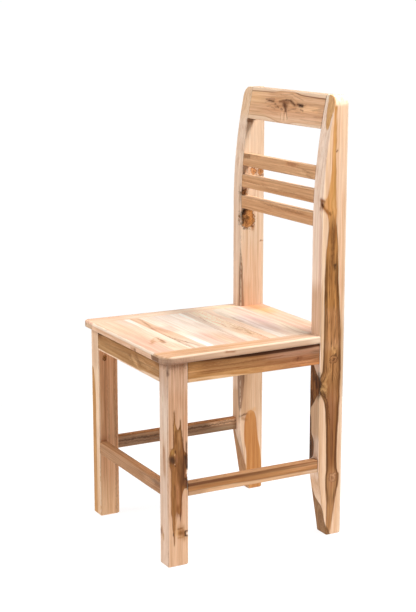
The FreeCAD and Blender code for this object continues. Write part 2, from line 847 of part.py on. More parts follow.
group("block_screws", [aim(slotted(block_screw_shape), a, d)
                       for a, d in block_screw_places])
group("seat_screws", [aim(slotted(seat_screw_shape), a, d)
                      for a, d in seat_screw_places])
dowels = []
for yy in lines[1:6]:
    for xx in (dp.v, -dp.v):
        dowels.append(Part.makeCylinder(
            dr.v, 2 * dh.v,
            FreeCAD.Vector(xx, yy.v - dh.v, seat_low.v + st.v / 2.0),
            FreeCAD.Vector(0, 1, 0)))
group("seat_dowels", dowels)

doc.recompute()

# -------------------------------------------------------------- test, export
for o in doc.Objects:
    if "Invalid" in o.State or "Error" in o.State:
        raise RuntimeError("failed object: %s %s" % (o.Name, o.State))

pieces = [o for o in doc.Objects
          if o.isDerivedFrom("PartDesign::Body")
          or (o.TypeId == "Part::Feature")]
os.makedirs("parts", exist_ok=True)
for o in pieces:
    sh = o.Shape
    if sh.isNull() or not sh.isValid() or not sh.Solids:
        raise RuntimeError("bad shape: " + o.Label)
for o in pieces:
    sh = o.Shape
    one = sh if o.TypeId == "Part::Feature" else sh.Solids[0]
    if o.TypeId != "Part::Feature" and len(sh.Solids) != 1:
        raise RuntimeError("more than one solid: " + o.Label)
    one.exportStep(os.path.join("parts", o.Label + ".step"))
    bb = sh.BoundBox
    print("%-26s %8.1f cm3  x %7.1f %7.1f  y %7.1f %7.1f  z %6.1f %6.1f" % (
        o.Label, sh.Volume / 1000.0, bb.XMin, bb.XMax, bb.YMin, bb.YMax,
        bb.ZMin, bb.ZMax))
print(len(pieces), "pieces")
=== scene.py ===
import bpy
import math
from mathutils import Matrix, Vector, noise as mnoise


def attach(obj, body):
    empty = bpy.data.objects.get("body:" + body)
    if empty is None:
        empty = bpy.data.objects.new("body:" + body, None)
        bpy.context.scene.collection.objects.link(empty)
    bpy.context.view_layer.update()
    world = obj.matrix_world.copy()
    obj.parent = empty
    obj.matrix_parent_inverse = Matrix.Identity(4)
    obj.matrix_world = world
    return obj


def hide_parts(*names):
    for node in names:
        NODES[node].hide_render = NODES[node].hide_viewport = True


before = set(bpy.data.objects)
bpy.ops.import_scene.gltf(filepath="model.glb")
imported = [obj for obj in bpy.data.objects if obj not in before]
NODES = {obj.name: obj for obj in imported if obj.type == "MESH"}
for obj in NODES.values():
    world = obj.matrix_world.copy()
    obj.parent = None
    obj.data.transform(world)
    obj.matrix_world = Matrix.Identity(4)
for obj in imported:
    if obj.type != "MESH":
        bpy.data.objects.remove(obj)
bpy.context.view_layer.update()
MM = 0.001

# A plain side chair in planed, unfinished hardwood: cream and pink sapwood with
# golden to chocolate heartwood. Row frame: -Y is the front, +X the sitter's
# left, +Z up. Lengths in this script are millimetres until a mesh is made.

SEAT_Z = 450.0


# ===================================================================== shapes
def rnd(x, y, z, scale, seed):
    """Smooth noise about 0, between -1 and 1."""
    return mnoise.noise(Vector((x / scale + seed * 7.13, y / scale - seed * 3.7, z / scale + seed)))


def round_poly(pts, radii, k=3):
    """A closed outline (counter-clockwise) with its corners rounded."""
    out = []
    n = len(pts)
    for i in range(n):
        a, b, c = Vector(pts[i - 1]), Vector(pts[i]), Vector(pts[(i + 1) % n])
        r = radii[i]
        u = (a - b).normalized()
        v = (c - b).normalized()
        half = math.acos(max(-1.0, min(1.0, u.dot(v)))) / 2.0
        if r < 1e-6:
            for _ in range(k + 1):
                out.append((b.x, b.y))
            continue
        cut = r / math.tan(half)
        p0, p1 = b + u * cut, b + v * cut
        ctr = b + (u + v).normalized() * (r / math.sin(half))
        a0 = math.atan2(p0.y - ctr.y, p0.x - ctr.x)
        a1 = math.atan2(p1.y - ctr.y, p1.x - ctr.x)
        while a1 - a0 > math.pi:
            a1 -= 2 * math.pi
        while a1 - a0 < -math.pi:
            a1 += 2 * math.pi
        for j in range(k + 1):
            t = a0 + (a1 - a0) * j / k
            out.append((ctr.x + r * math.cos(t), ctr.y + r * math.sin(t)))
    return out


def loft(name, rings, smooth_angle=35.0):
    """A closed skin over rings of points, one after another, with flat ends."""
    n = len(rings[0])
    verts = [tuple(c * MM for c in p) for ring in rings for p in ring]
    faces = []
    for i in range(len(rings) - 1):
        for j in range(n):
            a = i * n + j
            b = i * n + (j + 1) % n
            faces.append((a, b, b + n, a + n))
    faces.append(tuple(reversed(range(n))))
    last = (len(rings) - 1) * n
    faces.append(tuple(range(last, last + n)))
    me = bpy.data.meshes.new(name)
    me.from_pydata(verts, [], faces)
    me.validate()
    import bmesh
    bm = bmesh.new()
    bm.from_mesh(me)
    bmesh.ops.remove_doubles(bm, verts=bm.verts, dist=2e-6)
    bmesh.ops.dissolve_degenerate(bm, edges=bm.edges, dist=1e-6)
    bmesh.ops.recalc_face_normals(bm, faces=bm.faces)
    bm.to_mesh(me)
    bm.free()
    for poly in me.polygons:
        poly.use_smooth = True
    me.set_sharp_from_angle(angle=math.radians(smooth_angle))
    ob = bpy.data.objects.new(name, me)
    bpy.context.scene.collection.objects.link(ob)
    wn = ob.modifiers.new("even_shading", "WEIGHTED_NORMAL")
    wn.keep_sharp = True
    wn.weight = 60
    wn.mode = "FACE_AREA"
    return ob


def stations(lo, hi, step, extra=()):
    n = max(1, int(round((hi - lo) / step)))
    s = [lo + (hi - lo) * i / n for i in range(n + 1)]
    for e0, e1, st in extra:
        m = int((e1 - e0) / st)
        s += [e0 + st * i for i in range(m + 1)]
    s = sorted(set(round(v, 3) for v in s if lo - 1e-6 <= v <= hi + 1e-6))
    return s


def bar(name, axis, lo, hi, section, step=14.0, seed=1, wear=0.3, chips=(), extra=()):
    """A straight member along an axis. section(s) gives (outline, radii) in the
    other two axes; chips are local dents (s, half length, corner, depth)."""
    rings = []
    for s in stations(lo, hi, step, extra):
        pts, radii = section(s)
        rr = []
        for i, r in enumerate(radii):
            w = 1.0 + wear * rnd(s, i * 40.0, 0.0, 38.0, seed)
            for cs, half, corner, depth in chips:
                if corner == i and abs(s - cs) < half:
                    k = (1.0 - ((s - cs) / half) ** 2) * (1.0 + 0.45 * rnd(s, 0, 0, 3.1, seed + 5))
                    w += max(0.0, depth * k)
            rr.append(r * w)
        ring = []
        for a, b in round_poly(pts, rr):
            if axis == "x":
                p = (s, a, b)
            elif axis == "y":
                p = (a, s, b)
            else:
                p = (a, b, s)
            ring.append(p)
        cx = sum(p[0] for p in ring) / len(ring)
        cy = sum(p[1] for p in ring) / len(ring)
        cz = sum(p[2] for p in ring) / len(ring)
        soft = []
        for p in ring:
            d = Vector((p[0] - cx, p[1] - cy, p[2] - cz))
            # planed by hand: the faces dip by up to a tenth of a millimetre
            k = -0.05 + 0.05 * rnd(p[0], p[1], p[2], 55.0, seed + 9)
            d = d.normalized() * k
            if axis == "x":
                d.x = 0
            elif axis == "y":
                d.y = 0
            else:
                d.z = 0
            soft.append((p[0] + d.x, p[1] + d.y, p[2] + d.z))
        rings.append(soft)
    return loft(name, rings)


def rect(a0, a1, b0, b1):
    return [(a0, b0), (a1, b0), (a1, b1), (a0, b1)]


# front legs
FOOT = 2.5


def leg(name, x0, x1, seed, chips=(), extra=()):
    def sec(z):
        e = max(0.0, FOOT - z) if z < FOOT else 0.0
        return rect(x0 + e, x1 - e, -205.5 + e, -158.5 - e), [1.7] * 4
    return bar(name, "z", 0.0, 434.0, sec, 14.0, seed, 0.35, chips,
               [(0.0, 2.5, 1.25)] + list(extra))


# rear posts: side profile swept along z, outer top corner rounded
def post_front(z):
    kn, toe, soft = 147.0, 24.0, 14.0
    flank = math.hypot(toe, kn)
    kz = kn - kn * soft / flank
    if z <= kz:
        return 156.0 + toe * (1.0 - z / kn)
    if z < kn + soft:
        t = (z - kz) / (kn + soft - kz)
        kx = toe * soft / flank
        return 156.0 + kx * (1.0 - t) ** 2
    if z <= 690.0:
        return 156.0
    return 156.0 + 1180.0 - math.sqrt(1180.0 ** 2 - (z - 690.0) ** 2)


def post(name, sx, seed):
    def sec(z):
        e = max(0.0, FOOT - z) if z < FOOT else 0.0
        out = 188.0
        if z > 932.0:
            q = min(1.0, (z - 932.0) / 21.0)
            out = 167.0 + 21.0 * math.sqrt(max(0.0, 1.0 - q * q))
        top = 0.0
        if z > 951.4:
            q = min(1.0, (z - 951.4) / 1.6)
            top = 1.6 * (1.0 - math.sqrt(max(0.0, 1.0 - q * q)))
        xi = 152.0 + e + top
        xo = out - e - top * 0.3
        ya, yb = post_front(z) + e + top, 216.5 - e - top
        if sx > 0:
            return rect(xi, xo, ya, yb), [1.7] * 4
        return rect(-xo, -xi, ya, yb), [1.7] * 4
    # close rings over the round shoulder
    ring_z = [932.0 + 21.0 * math.sin(math.radians(a)) for a in range(0, 91, 6)]
    ring_z += [951.4 + 1.6 * math.sin(math.radians(a)) for a in range(0, 91, 22)]
    extra = [(z, z + 0.001, 1.0) for z in ring_z if z <= 953.0]
    return bar(name, "z", 0.0, 953.0, sec, 12.0, seed, 0.35, (),
               [(0.0, 2.5, 1.25), (130.0, 165.0, 4.0)] + extra)


def tilted(name, mid_z, face_y, tall, thick, tilt, seed, level=False, wear=0.3):
    """A cross piece of the back, leaning with the posts' swept edge."""
    t = math.radians(tilt)
    top = tall / 2.0 + (thick * math.tan(t) if level else 0.0)
    quad = [(0.0, -tall / 2.0), (thick, -tall / 2.0), (thick, top), (0.0, tall / 2.0)]
    pts = [(face_y + u * math.cos(t) + v * math.sin(t), mid_z - u * math.sin(t) + v * math.cos(t))
           for u, v in quad]

    def sec(x):
        return pts, [1.6] * 4
    return bar(name, "x", -152.0, 152.0, sec, 14.0, seed, wear)


def seat_side(name, sx, seed, rc=26.0, chips=()):
    """A side rail of the seat: tapered plan, round front corner, soft rims."""
    xa, xb, ri = 200.0, 189.0, 152.0
    taper = (xa - xb) / 361.5
    yf, yr = -218.5, 156.0

    def x_out(y):
        return xa - taper * (y + 205.5)

    def plan(e):
        """The outline at an inset e from the outer and front edges."""
        slope = math.atan(taper)
        # centre of the corner arc, rc inside both edges
        cy = yf + rc
        cx = x_out(cy) - rc / math.cos(slope)
        pts = [(ri + 0.15, yf + e), ((cx + ri) / 2.0, yf + e)]
        r = rc - e
        for i in range(11):
            a = math.radians(-90.0) + (math.radians(90.0) - slope * 0.0) * i / 10.0
            pts.append((cx + r * math.cos(a), cy + r * math.sin(a)))
        y = cy + 14.0
        while y < yr - 8.0:
            pts.append((x_out(y) - e, y))
            y += 16.0
        pts.append((x_out(yr) - e, yr))
        m = 8
        pts.append((ri + 0.15, yr))
        for i in range(1, m):
            pts.append((ri + 0.15, yr + (yf + 20.0 - yr) * i / m))
        return pts

    levels = []
    rl, rt = 3.4, 4.2
    for a in range(0, 91, 18):
        q = math.radians(a)
        levels.append((434.0 + rl * (1 - math.cos(q)), rl * (1 - math.sin(q))))
    for a in range(0, 91, 15):
        q = math.radians(a)
        levels.append((450.0 - rt + rt * math.sin(q), rt * (1 - math.cos(q))))
    rings = []
    for z, e in levels:
        ring = []
        for x, y in plan(e):
            k = 0.06 * rnd(x, y, z, 45.0, seed)
            if x > ri + 1.0 and y < yr - 1.0:
                dx = -abs(k)
                for cy_, half, depth, cz in chips:
                    if abs(y - cy_) < half and x > 180.0:
                        w = (1 - ((y - cy_) / half) ** 2) * max(0.0, 1 - ((z - cz) / 4.5) ** 2)
                        dx -= depth * w
                x += dx
            ring.append((x * sx, y, z))
        rings.append(ring if sx > 0 else list(reversed(ring)))
    return loft(name, rings, 40.0)


def seat_board(name, y0, y1, seed, front=False, rear=False):
    g = 0.08
    # corners in the order low front, low rear, top rear, top front
    radii = [3.4 if front else 0.3, 3.4 if rear else 0.3,
             4.2 if rear else 0.45, 4.2 if front else 0.45]
    drop = 0.12 * (((seed * 37) % 5) / 4.0)

    def sec(x):
        return rect(y0 + (0 if front else g), y1 - (0 if rear else g), 434.0, 450.0 - drop), radii
    ob = bar(name, "x", -151.9, 151.9, sec, 19.0, seed, 0.12)
    return ob


pieces = {}


def keep(ob, node):
    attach(ob, "root")
    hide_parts(node)
    pieces[node] = ob
    return ob


# corners of a leg's section, counter-clockwise from low x, low y; 2 is +x +y
keep(leg("near_front_leg", 152.0, 188.0, 3, chips=[(193.5, 13.5, 2, 2.4), (68.0, 3.5, 2, 0.9)],
         extra=[(178.0, 209.0, 1.6), (62.0, 74.0, 2.0)]), "front_leg_left")
keep(leg("far_front_leg", -188.0, -152.0, 4), "front_leg_right")
keep(post("near_rear_post", 1, 5), "rear_post_left")
keep(post("far_rear_post", -1, 6), "rear_post_right")

_lean = math.radians(11.0)
_mid = 953.0 - 35.5 * math.cos(_lean)
_sweep = post_front(_mid)
keep(tilted("crest_board", _mid, _sweep + 0.3, 71.0, 20.0, 11.0, 7, True), "crest_rail")
for nm, zc, sd in (("upper", 791.5, 8), ("middle", 743.0, 9), ("lower", 694.5, 10)):
    tilt = math.degrees(math.asin((zc - 690.0) / 1180.0))
    keep(tilted("slat_" + nm, zc, post_front(zc) + 0.8, 29.0, 18.0, tilt, sd),
         "back_slat_" + nm)


def rail_x(name, y0, y1, z0, z1, seed):
    return bar(name, "x", -152.0, 152.0, lambda s: (rect(y0, y1, z0, z1), [1.6] * 4), 16.0, seed)


def rail_y(name, x0, x1, z0, z1, seed):
    return bar(name, "y", -158.5, 156.0, lambda s: ([(x1, z0), (x0, z0), (x0, z1), (x1, z1)][::-1],
                                                    [1.6] * 4), 16.0, seed)


keep(rail_x("front_apron", -205.2, -185.5, 389.0, 434.0, 11), "apron_front")
keep(rail_x("rear_apron", 196.5, 216.3, 389.0, 434.0, 12), "apron_back")
keep(rail_y("near_apron", 168.0, 187.7, 389.0, 434.0, 13), "apron_left")
keep(rail_y("far_apron", -187.7, -168.0, 389.0, 434.0, 14), "apron_right")
keep(rail_x("front_stretcher", -205.0, -187.5, 148.5, 176.5, 15), "stretcher_front")
keep(rail_y("near_stretcher", 170.0, 187.5, 148.5, 176.5, 16), "stretcher_left")
keep(rail_y("far_stretcher", -187.5, -170.0, 148.5, 176.5, 17), "stretcher_right")
keep(seat_side("near_seat_rail", 1, 18, 26.0, [(-64.5, 9.0, 2.2, 445.0)]), "seat_rail_left")
keep(seat_side("far_seat_rail", -1, 19, 11.0), "seat_rail_right")
LINES = [-218.5, -128.5, -76.5, 0.0, 55.5, 156.0, 218.5]
for i in range(6):
    keep(seat_board("board_%d" % (i + 1), LINES[i], LINES[i + 1], 21 + i, i == 0, i == 5),
         "seat_board_%d" % (i + 1))


# ================================================================== materials
def lin(c):
    return tuple(((v / 255.0) / 12.92) if v / 255.0 <= 0.04045 else (((v / 255.0) + 0.055) / 1.055) ** 2.4
                 for v in c) + (1.0,)


class S(object):
    """A node socket that can be added, multiplied and compared."""

    def __init__(self, g, s):
        self.g, self.s = g, s

    def __add__(self, o): return self.g.m("ADD", self, o)
    __radd__ = __add__
    def __sub__(self, o): return self.g.m("SUBTRACT", self, o)
    def __rsub__(self, o): return self.g.m("SUBTRACT", o, self)
    def __mul__(self, o): return self.g.m("MULTIPLY", self, o)
    __rmul__ = __mul__
    def __truediv__(self, o): return self.g.m("DIVIDE", self, o)
    def __neg__(self): return self.g.m("MULTIPLY", self, -1.0)


class Graph(object):
    def __init__(self, name):
        self.mat = bpy.data.materials.new(name)
        self.mat.use_nodes = True
        self.t = self.mat.node_tree
        self.t.nodes.clear()
        tc = self.t.nodes.new("ShaderNodeTexCoord")
        vm = self.t.nodes.new("ShaderNodeVectorMath")
        vm.operation = "SCALE"
        vm.inputs[3].default_value = 1000.0
        self.t.links.new(tc.outputs["Object"], vm.inputs[0])
        self.P = vm.outputs[0]                      # millimetres
        sx = self.t.nodes.new("ShaderNodeSeparateXYZ")
        self.t.links.new(self.P, sx.inputs[0])
        self.X, self.Y, self.Z = (S(self, sx.outputs[i]) for i in range(3))

    def put(self, inp, v):
        if isinstance(v, S):
            self.t.links.new(v.s, inp)
        elif hasattr(v, "bl_idname") or isinstance(v, bpy.types.NodeSocket):
            self.t.links.new(v, inp)
        else:
            inp.default_value = v

    def m(self, op, a, b=0.0, c=None):
        n = self.t.nodes.new("ShaderNodeMath")
        n.operation = op
        self.put(n.inputs[0], a)
        self.put(n.inputs[1], b)
        if c is not None:
            self.put(n.inputs[2], c)
        return S(self, n.outputs[0])

    def abs(self, a): return self.m("ABSOLUTE", a)
    def sqrt(self, a): return self.m("SQRT", self.m("MAXIMUM", a, 0.0))
    def min(self, a, b): return self.m("MINIMUM", a, b)
    def max(self, a, b): return self.m("MAXIMUM", a, b)

    def step(self, x, e0, e1, lo=0.0, hi=1.0):
        """Smooth step from lo at e0 to hi at e1."""
        n = self.t.nodes.new("ShaderNodeMapRange")
        n.interpolation_type = "SMOOTHSTEP"
        n.clamp = False                             # a smooth step stays in range
        self.put(n.inputs[0], x)
        if e0 <= e1:
            n.inputs[1].default_value, n.inputs[2].default_value = e0, e1
            n.inputs[3].default_value, n.inputs[4].default_value = lo, hi
        else:
            n.inputs[1].default_value, n.inputs[2].default_value = e1, e0
            n.inputs[3].default_value, n.inputs[4].default_value = hi, lo
        return S(self, n.outputs[0])

    def window(self, x, a, b, soft):
        """1 between a and b, falling off over soft outside them."""
        return self.step(x, a - soft, a) * self.step(x, b + soft, b)

    def vec(self, x, y, z):
        n = self.t.nodes.new("ShaderNodeCombineXYZ")
        for i, v in enumerate((x, y, z)):
            self.put(n.inputs[i], v)
        return n.outputs[0]

    def noise(self, x, y, z, detail=1.0, rough=0.5, dist=0.0):
        n = self.t.nodes.new("ShaderNodeTexNoise")
        n.inputs["Scale"].default_value = 1.0
        n.inputs["Detail"].default_value = detail
        n.inputs["Roughness"].default_value = rough
        n.inputs["Distortion"].default_value = dist
        self.t.links.new(self.vec(x, y, z), n.inputs["Vector"])
        return S(self, n.outputs[0])

    def curve(self, x, pts):
        """Smooth curve through (x, y) points, in millimetres both ways."""
        xs = [p[0] for p in pts]
        ys = [p[1] for p in pts]
        x0, x1 = min(xs), max(xs)
        y0, y1 = min(ys), max(ys)
        span = max(1e-6, y1 - y0)
        n = self.t.nodes.new("ShaderNodeFloatCurve")
        c = n.mapping.curves[0]
        norm = sorted(((px - x0) / (x1 - x0), (py - y0) / span) for px, py in pts)
        c.points[0].location = norm[0]
        c.points[1].location = norm[-1]
        for q in norm[1:-1]:
            c.points.new(*q)
        for pt in c.points:
            pt.handle_type = "AUTO_CLAMPED"
        n.mapping.update()
        u = self.m("DIVIDE", self.m("SUBTRACT", x, x0), x1 - x0)
        self.put(n.inputs["Value"], self.min(self.max(u, 0.0), 1.0))
        n.inputs["Factor"].default_value = 1.0
        return self.m("MULTIPLY_ADD", S(self, n.outputs[0]), span, y0)

    def mix(self, fac, a, b):
        n = self.t.nodes.new("ShaderNodeMix")
        n.data_type = "RGBA"
        n.clamp_factor = True
        self.put(n.inputs[0], fac)
        self.put(n.inputs[6], a)
        self.put(n.inputs[7], b)
        return S(self, n.outputs[2])

    def tint(self, col, fac, rgb):
        """col multiplied by rgb as far as fac says."""
        n = self.t.nodes.new("ShaderNodeMix")
        n.data_type = "RGBA"
        n.blend_type = "MULTIPLY"
        n.clamp_factor = True
        self.put(n.inputs[0], fac)
        self.put(n.inputs[6], col)
        n.inputs[7].default_value = tuple(rgb) + (1.0,)
        return S(self, n.outputs[2])

    def dim(self, col, fac):
        """col times a grey factor."""
        n = self.t.nodes.new("ShaderNodeVectorMath")
        n.operation = "SCALE"
        self.put(n.inputs[0], col)
        self.put(n.inputs[3], fac)
        return S(self, n.outputs[0])

    def seg(self, a, b, r, pos=None):
        """A soft stroke from a to b with radii r, 1 on its line."""
        g = self.t.nodes.new("ShaderNodeGroup")
        g.node_tree = STROKE
        self.t.links.new(self.W if pos is None else pos, g.inputs["P"])
        a, b = Vector(a), Vector(b)
        d = b - a
        g.inputs["A"].default_value = a
        g.inputs["D"].default_value = d
        g.inputs["inv"].default_value = 1.0 / max(1e-6, d.length_squared)
        g.inputs["K"].default_value = (1.0 / r[0], 1.0 / r[1], 1.0 / r[2])
        return S(self, g.outputs[0])

    def finish(self, col, rough, height, bump=0.35):
        bs = self.t.nodes.new("ShaderNodeBsdfPrincipled")
        out = self.t.nodes.new("ShaderNodeOutputMaterial")
        self.put(bs.inputs["Base Color"], col)
        self.put(bs.inputs["Roughness"], rough)
        bs.inputs["Specular IOR Level"].default_value = 0.16
        bs.inputs["IOR"].default_value = 1.45
        bp = self.t.nodes.new("ShaderNodeBump")
        bp.inputs["Strength"].default_value = bump
        bp.inputs["Distance"].default_value = 0.0006
        self.put(bp.inputs["Height"], height)
        self.t.links.new(bp.outputs[0], bs.inputs["Normal"])
        self.t.links.new(bs.outputs[0], out.inputs[0])
        return self.mat


def make_stroke():
    t = bpy.data.node_groups.new("stroke", "ShaderNodeTree")
    for nm, kind in (("P", "NodeSocketVector"), ("A", "NodeSocketVector"), ("D", "NodeSocketVector"),
                     ("inv", "NodeSocketFloat"), ("K", "NodeSocketVector")):
        t.interface.new_socket(nm, in_out="INPUT", socket_type=kind)
    t.interface.new_socket("Fac", in_out="OUTPUT", socket_type="NodeSocketFloat")
    gi = t.nodes.new("NodeGroupInput")
    go = t.nodes.new("NodeGroupOutput")

    def vm(op, a, b=None, s=None):
        n = t.nodes.new("ShaderNodeVectorMath")
        n.operation = op
        t.links.new(a, n.inputs[0])
        if b is not None:
            t.links.new(b, n.inputs[1])
        if s is not None:
            t.links.new(s, n.inputs[3])
        return n

    pa = vm("SUBTRACT", gi.outputs["P"], gi.outputs["A"]).outputs[0]
    dot = vm("DOT_PRODUCT", pa, gi.outputs["D"]).outputs["Value"]
    part = dot
    for op, v in (("MULTIPLY", None), ("MINIMUM", 1.0), ("MAXIMUM", 0.0)):
        mt = t.nodes.new("ShaderNodeMath")
        mt.operation = op
        t.links.new(part, mt.inputs[0])
        if v is None:
            t.links.new(gi.outputs["inv"], mt.inputs[1])
        else:
            mt.inputs[1].default_value = v
        part = mt.outputs[0]
    along = vm("SCALE", gi.outputs["D"], s=part).outputs[0]
    off = vm("SUBTRACT", pa, along).outputs[0]
    sc = vm("MULTIPLY", off, gi.outputs["K"]).outputs[0]
    d2 = vm("DOT_PRODUCT", sc, sc).outputs["Value"]
    neg = t.nodes.new("ShaderNodeMath")
    neg.operation = "MULTIPLY"
    t.links.new(d2, neg.inputs[0])
    neg.inputs[1].default_value = -1.0
    ex = t.nodes.new("ShaderNodeMath")
    ex.operation = "EXPONENT"
    t.links.new(neg.outputs[0], ex.inputs[0])
    t.links.new(ex.outputs[0], go.inputs[0])
    return t


STROKE = make_stroke()

# sapwood and heartwood tones (albedo)
CREAM = lin((240, 214, 180))
PEACH = lin((233, 196, 158))
PINK = lin((226, 192, 166))
ROSE = lin((206, 160, 130))
GOLD = lin((206, 152, 92))
TAN = lin((190, 142, 98))
BROWN = lin((150, 104, 64))
UMBER = lin((108, 72, 44))
DARK = lin((66, 42, 27))


class Wood(Graph):
    """Solid wood with its own ring pattern. long is the grain's axis; (pc, qc)
    is the heart's line in the other two axes, ring distances run from it."""

    def __init__(self, name, long, seed, pc, qc, warp=1.0):
        Graph.__init__(self, name)
        X, Y, Z = self.X, self.Y, self.Z
        s, p, q = {"z": (Z, Y, X), "x": (X, Y, Z), "y": (Y, X, Z)}[long]
        self.seed = seed
        k = seed * 13.7
        # slow and quick waves of the grain across its run
        w1 = self.noise(s * (1 / 120.0), p * (1 / 40.0), q * (1 / 40.0) + k, 1.0)
        w2 = self.noise(s * (1 / 26.0) + k, p * (1 / 9.0), q * (1 / 9.0), 1.0)
        wave = (w1 - 0.5) * (9.0 * warp) + (w2 - 0.5) * (1.8 * warp)
        self.s, self.p, self.q, self.wave = s, p + wave, q + wave * 0.3, wave
        self.sl, self.pl, self.ql = s, p, q
        # strokes and knots follow a more crooked position
        nz = self.t.nodes.new("ShaderNodeTexNoise")
        nz.inputs["Scale"].default_value = 0.13
        nz.inputs["Detail"].default_value = 2.0
        nz.inputs["Roughness"].default_value = 0.62
        self.t.links.new(self.P, nz.inputs["Vector"])
        va = self.t.nodes.new("ShaderNodeVectorMath")
        va.operation = "MULTIPLY_ADD"
        self.t.links.new(nz.outputs["Color"], va.inputs[0])
        va.inputs[1].default_value = (9.0, 9.0, 9.0)
        va.inputs[2].default_value = (-4.5, -4.5, -4.5)
        vb = self.t.nodes.new("ShaderNodeVectorMath")
        vb.operation = "ADD"
        self.t.links.new(va.outputs[0], vb.inputs[0])
        self.t.links.new(self.P, vb.inputs[1])
        self.W = vb.outputs[0]
        vc = self.t.nodes.new("ShaderNodeVectorMath")
        vc.operation = "MULTIPLY_ADD"
        self.t.links.new(nz.outputs["Color"], vc.inputs[0])
        vc.inputs[1].default_value = (2.8, 2.8, 2.8)
        vc.inputs[2].default_value = (-1.4, -1.4, -1.4)
        vd = self.t.nodes.new("ShaderNodeVectorMath")
        vd.operation = "ADD"
        self.t.links.new(vc.outputs[0], vd.inputs[0])
        self.t.links.new(self.P, vd.inputs[1])
        self.V = vd.outputs[0]
        sw = self.t.nodes.new("ShaderNodeSeparateXYZ")
        self.t.links.new(self.W, sw.inputs[0])
        wx, wy, wz = (S(self, sw.outputs[i]) for i in range(3))
        self.ws, self.wp, self.wq = {"z": (wz, wy, wx), "x": (wx, wy, wz), "y": (wy, wx, wz)}[long]
        dp = self.p - pc
        dq = self.q - qc
        self.rho = self.sqrt(dp * dp + dq * dq)
        r = self.rho
        # growth bands, streaks, fine grain and pores
        self.bands = self.noise(r * (1 / 5.5) + k, s * (1 / 700.0), 3.0, 2.0, 0.6)
        self.streak = self.noise(r * (1 / 1.9), s * (1 / 170.0) + k, p * 0.02, 3.0, 0.62)
        self.fine = self.noise(p * 1.7, q * 1.7 + k, s * (1 / 24.0), 2.0, 0.6)
        self.pore = self.step(self.noise(p * 3.1 + k, q * 3.1, s * (1 / 5.0), 1.0), 0.66, 0.78)
        self.slow = self.noise(p * (1 / 60.0), q * (1 / 60.0) + k, s * (1 / 260.0), 1.0)

    def sap(self, a, b, c=None, contrast=1.0):
        col = self.mix(self.step(self.bands * 0.6 + self.slow * 0.4, 0.36, 0.64), a, b)
        if c is not None:
            col = self.mix(self.step(self.bands, 0.56, 0.72) * 0.75, col, c)
        return col

    def heart(self, a, b, c, bias=0.0):
        t = self.bands * 0.55 + self.streak * 0.45 + bias
        col = self.mix(self.step(t, 0.36, 0.56), a, b)
        return self.mix(self.step(t, 0.55, 0.74), col, c)

    def grainy(self, col, amount=1.0):
        k = self.seed * 5.3
        p, q, s = self.p, self.q, self.s
        # open lines of the grain: broad, middling and hair-thin
        n1 = self.noise(p * 0.14, q * 0.14 + k, s * (1 / 330.0), 1.0)
        n2 = self.noise(p * 0.42, q * 0.42 + k, s * (1 / 170.0), 1.0)
        n3 = self.noise(p * 1.25, q * 1.25 + k, s * (1 / 80.0), 1.0)
        col = self.tint(col, self.step(n1, 0.50, 0.68) * (0.50 * amount), (0.86, 0.74, 0.63))
        col = self.tint(col, self.step(n2, 0.50, 0.70) * (0.62 * amount), (0.82, 0.68, 0.56))
        col = self.tint(col, self.step(n3, 0.55, 0.72) * (0.60 * amount), (0.80, 0.64, 0.51))
        f = (self.fine - 0.5) * (0.30 * amount) + (self.step(n2, 0.46, 0.30) + self.step(n1, 0.46, 0.34)) * (0.06 * amount) \
            - self.pore * (0.12 * amount) + 1.02
        self.lines = n3
        return self.dim(col, f)

    def knot(self, col, p0, s0, rp, rs, gold, core, rim, k=1.0, q0=None, deep=16.0):
        """A branch cut across: rings, a dark rim and a darker heart."""
        a = (self.wp - p0) * (1.0 / rp)
        b = (self.ws - s0) * (1.0 / rs)
        wob = self.noise(self.pl * 0.16 + self.seed, self.sl * 0.16, self.ql * 0.05, 3.0, 0.65)
        d = self.sqrt(a * a + b * b) + (wob - 0.5) * 1.5
        near = 1.0 if q0 is None else self.step(self.abs(self.q - q0), deep, deep * 0.6)
        rings = self.noise(d * 3.4 + self.seed, a * 0.5, b * 0.5, 2.0, 0.6)
        body = self.mix(self.step(rings, 0.38, 0.62), gold, core)
        col = self.mix(self.step(d, 1.12, 0.92) * near * k, col, body)
        col = self.mix(self.step(self.abs(d - 1.02), 0.24, 0.04) * self.step(rings, 0.3, 0.5) * near * (0.85 * k), col, rim)
        return self.mix(self.step(d, 0.52, 0.16) * near * (0.85 * k), col, rim)

    def side_marks(self, col, x, marks, deep=9.0):
        """Strokes on a face of constant x: (y0, z0, y1, z1, ry, rz, k, colour),
        y measured back from the legs' front plane."""
        for y0, z0, y1, z1, ry, rz, k, cc in marks:
            f = self.seg((x, fy(y0), z0), (x, fy(y1), z1), (deep, ry, rz), self.V)
            col = self.mix(f * k, col, lin(cc))
        return col

    def edges(self, col, a, a0, a1, b, b0, b1, k=0.4, wide=3.4):
        """Eased edges: painted paler than the faces, partly rubbed wear and partly a painted highlight where they catch
        the light.
        """
        da = self.min(self.abs(a - a0), self.abs(a - a1))
        db = self.min(self.abs(b - b0), self.abs(b - b1))
        m = self.step(da + db, wide, 0.9)
        n = self.noise(self.s * (1 / 9.0), self.p * 0.3, self.q * 0.3, 2.0)
        return self.mix(m * self.step(n, 0.32, 0.56) * k, col, lin((250, 228, 200)))

    def joints(self, col, lo, hi, k=0.6):
        """The dark hairline where a shoulder meets the leg."""
        d = self.min(self.abs(self.sl - lo), self.abs(self.sl - hi))
        return self.tint(col, self.step(d, 2.0, 0.2) * k, (0.34, 0.25, 0.18))

    def done(self, col, rough=0.52):
        height = self.fine * 0.5 + self.streak * 0.3 - self.pore * 0.8 - self.step(self.lines, 0.55, 0.72) * 0.5
        rg = self.m("MULTIPLY_ADD", self.streak, 0.16, rough - 0.08)
        return self.finish(col, rg, height)


def use(node, mat):
    ob = pieces.get(node) or NODES[node]
    ob.data.materials.clear()
    ob.data.materials.append(mat)


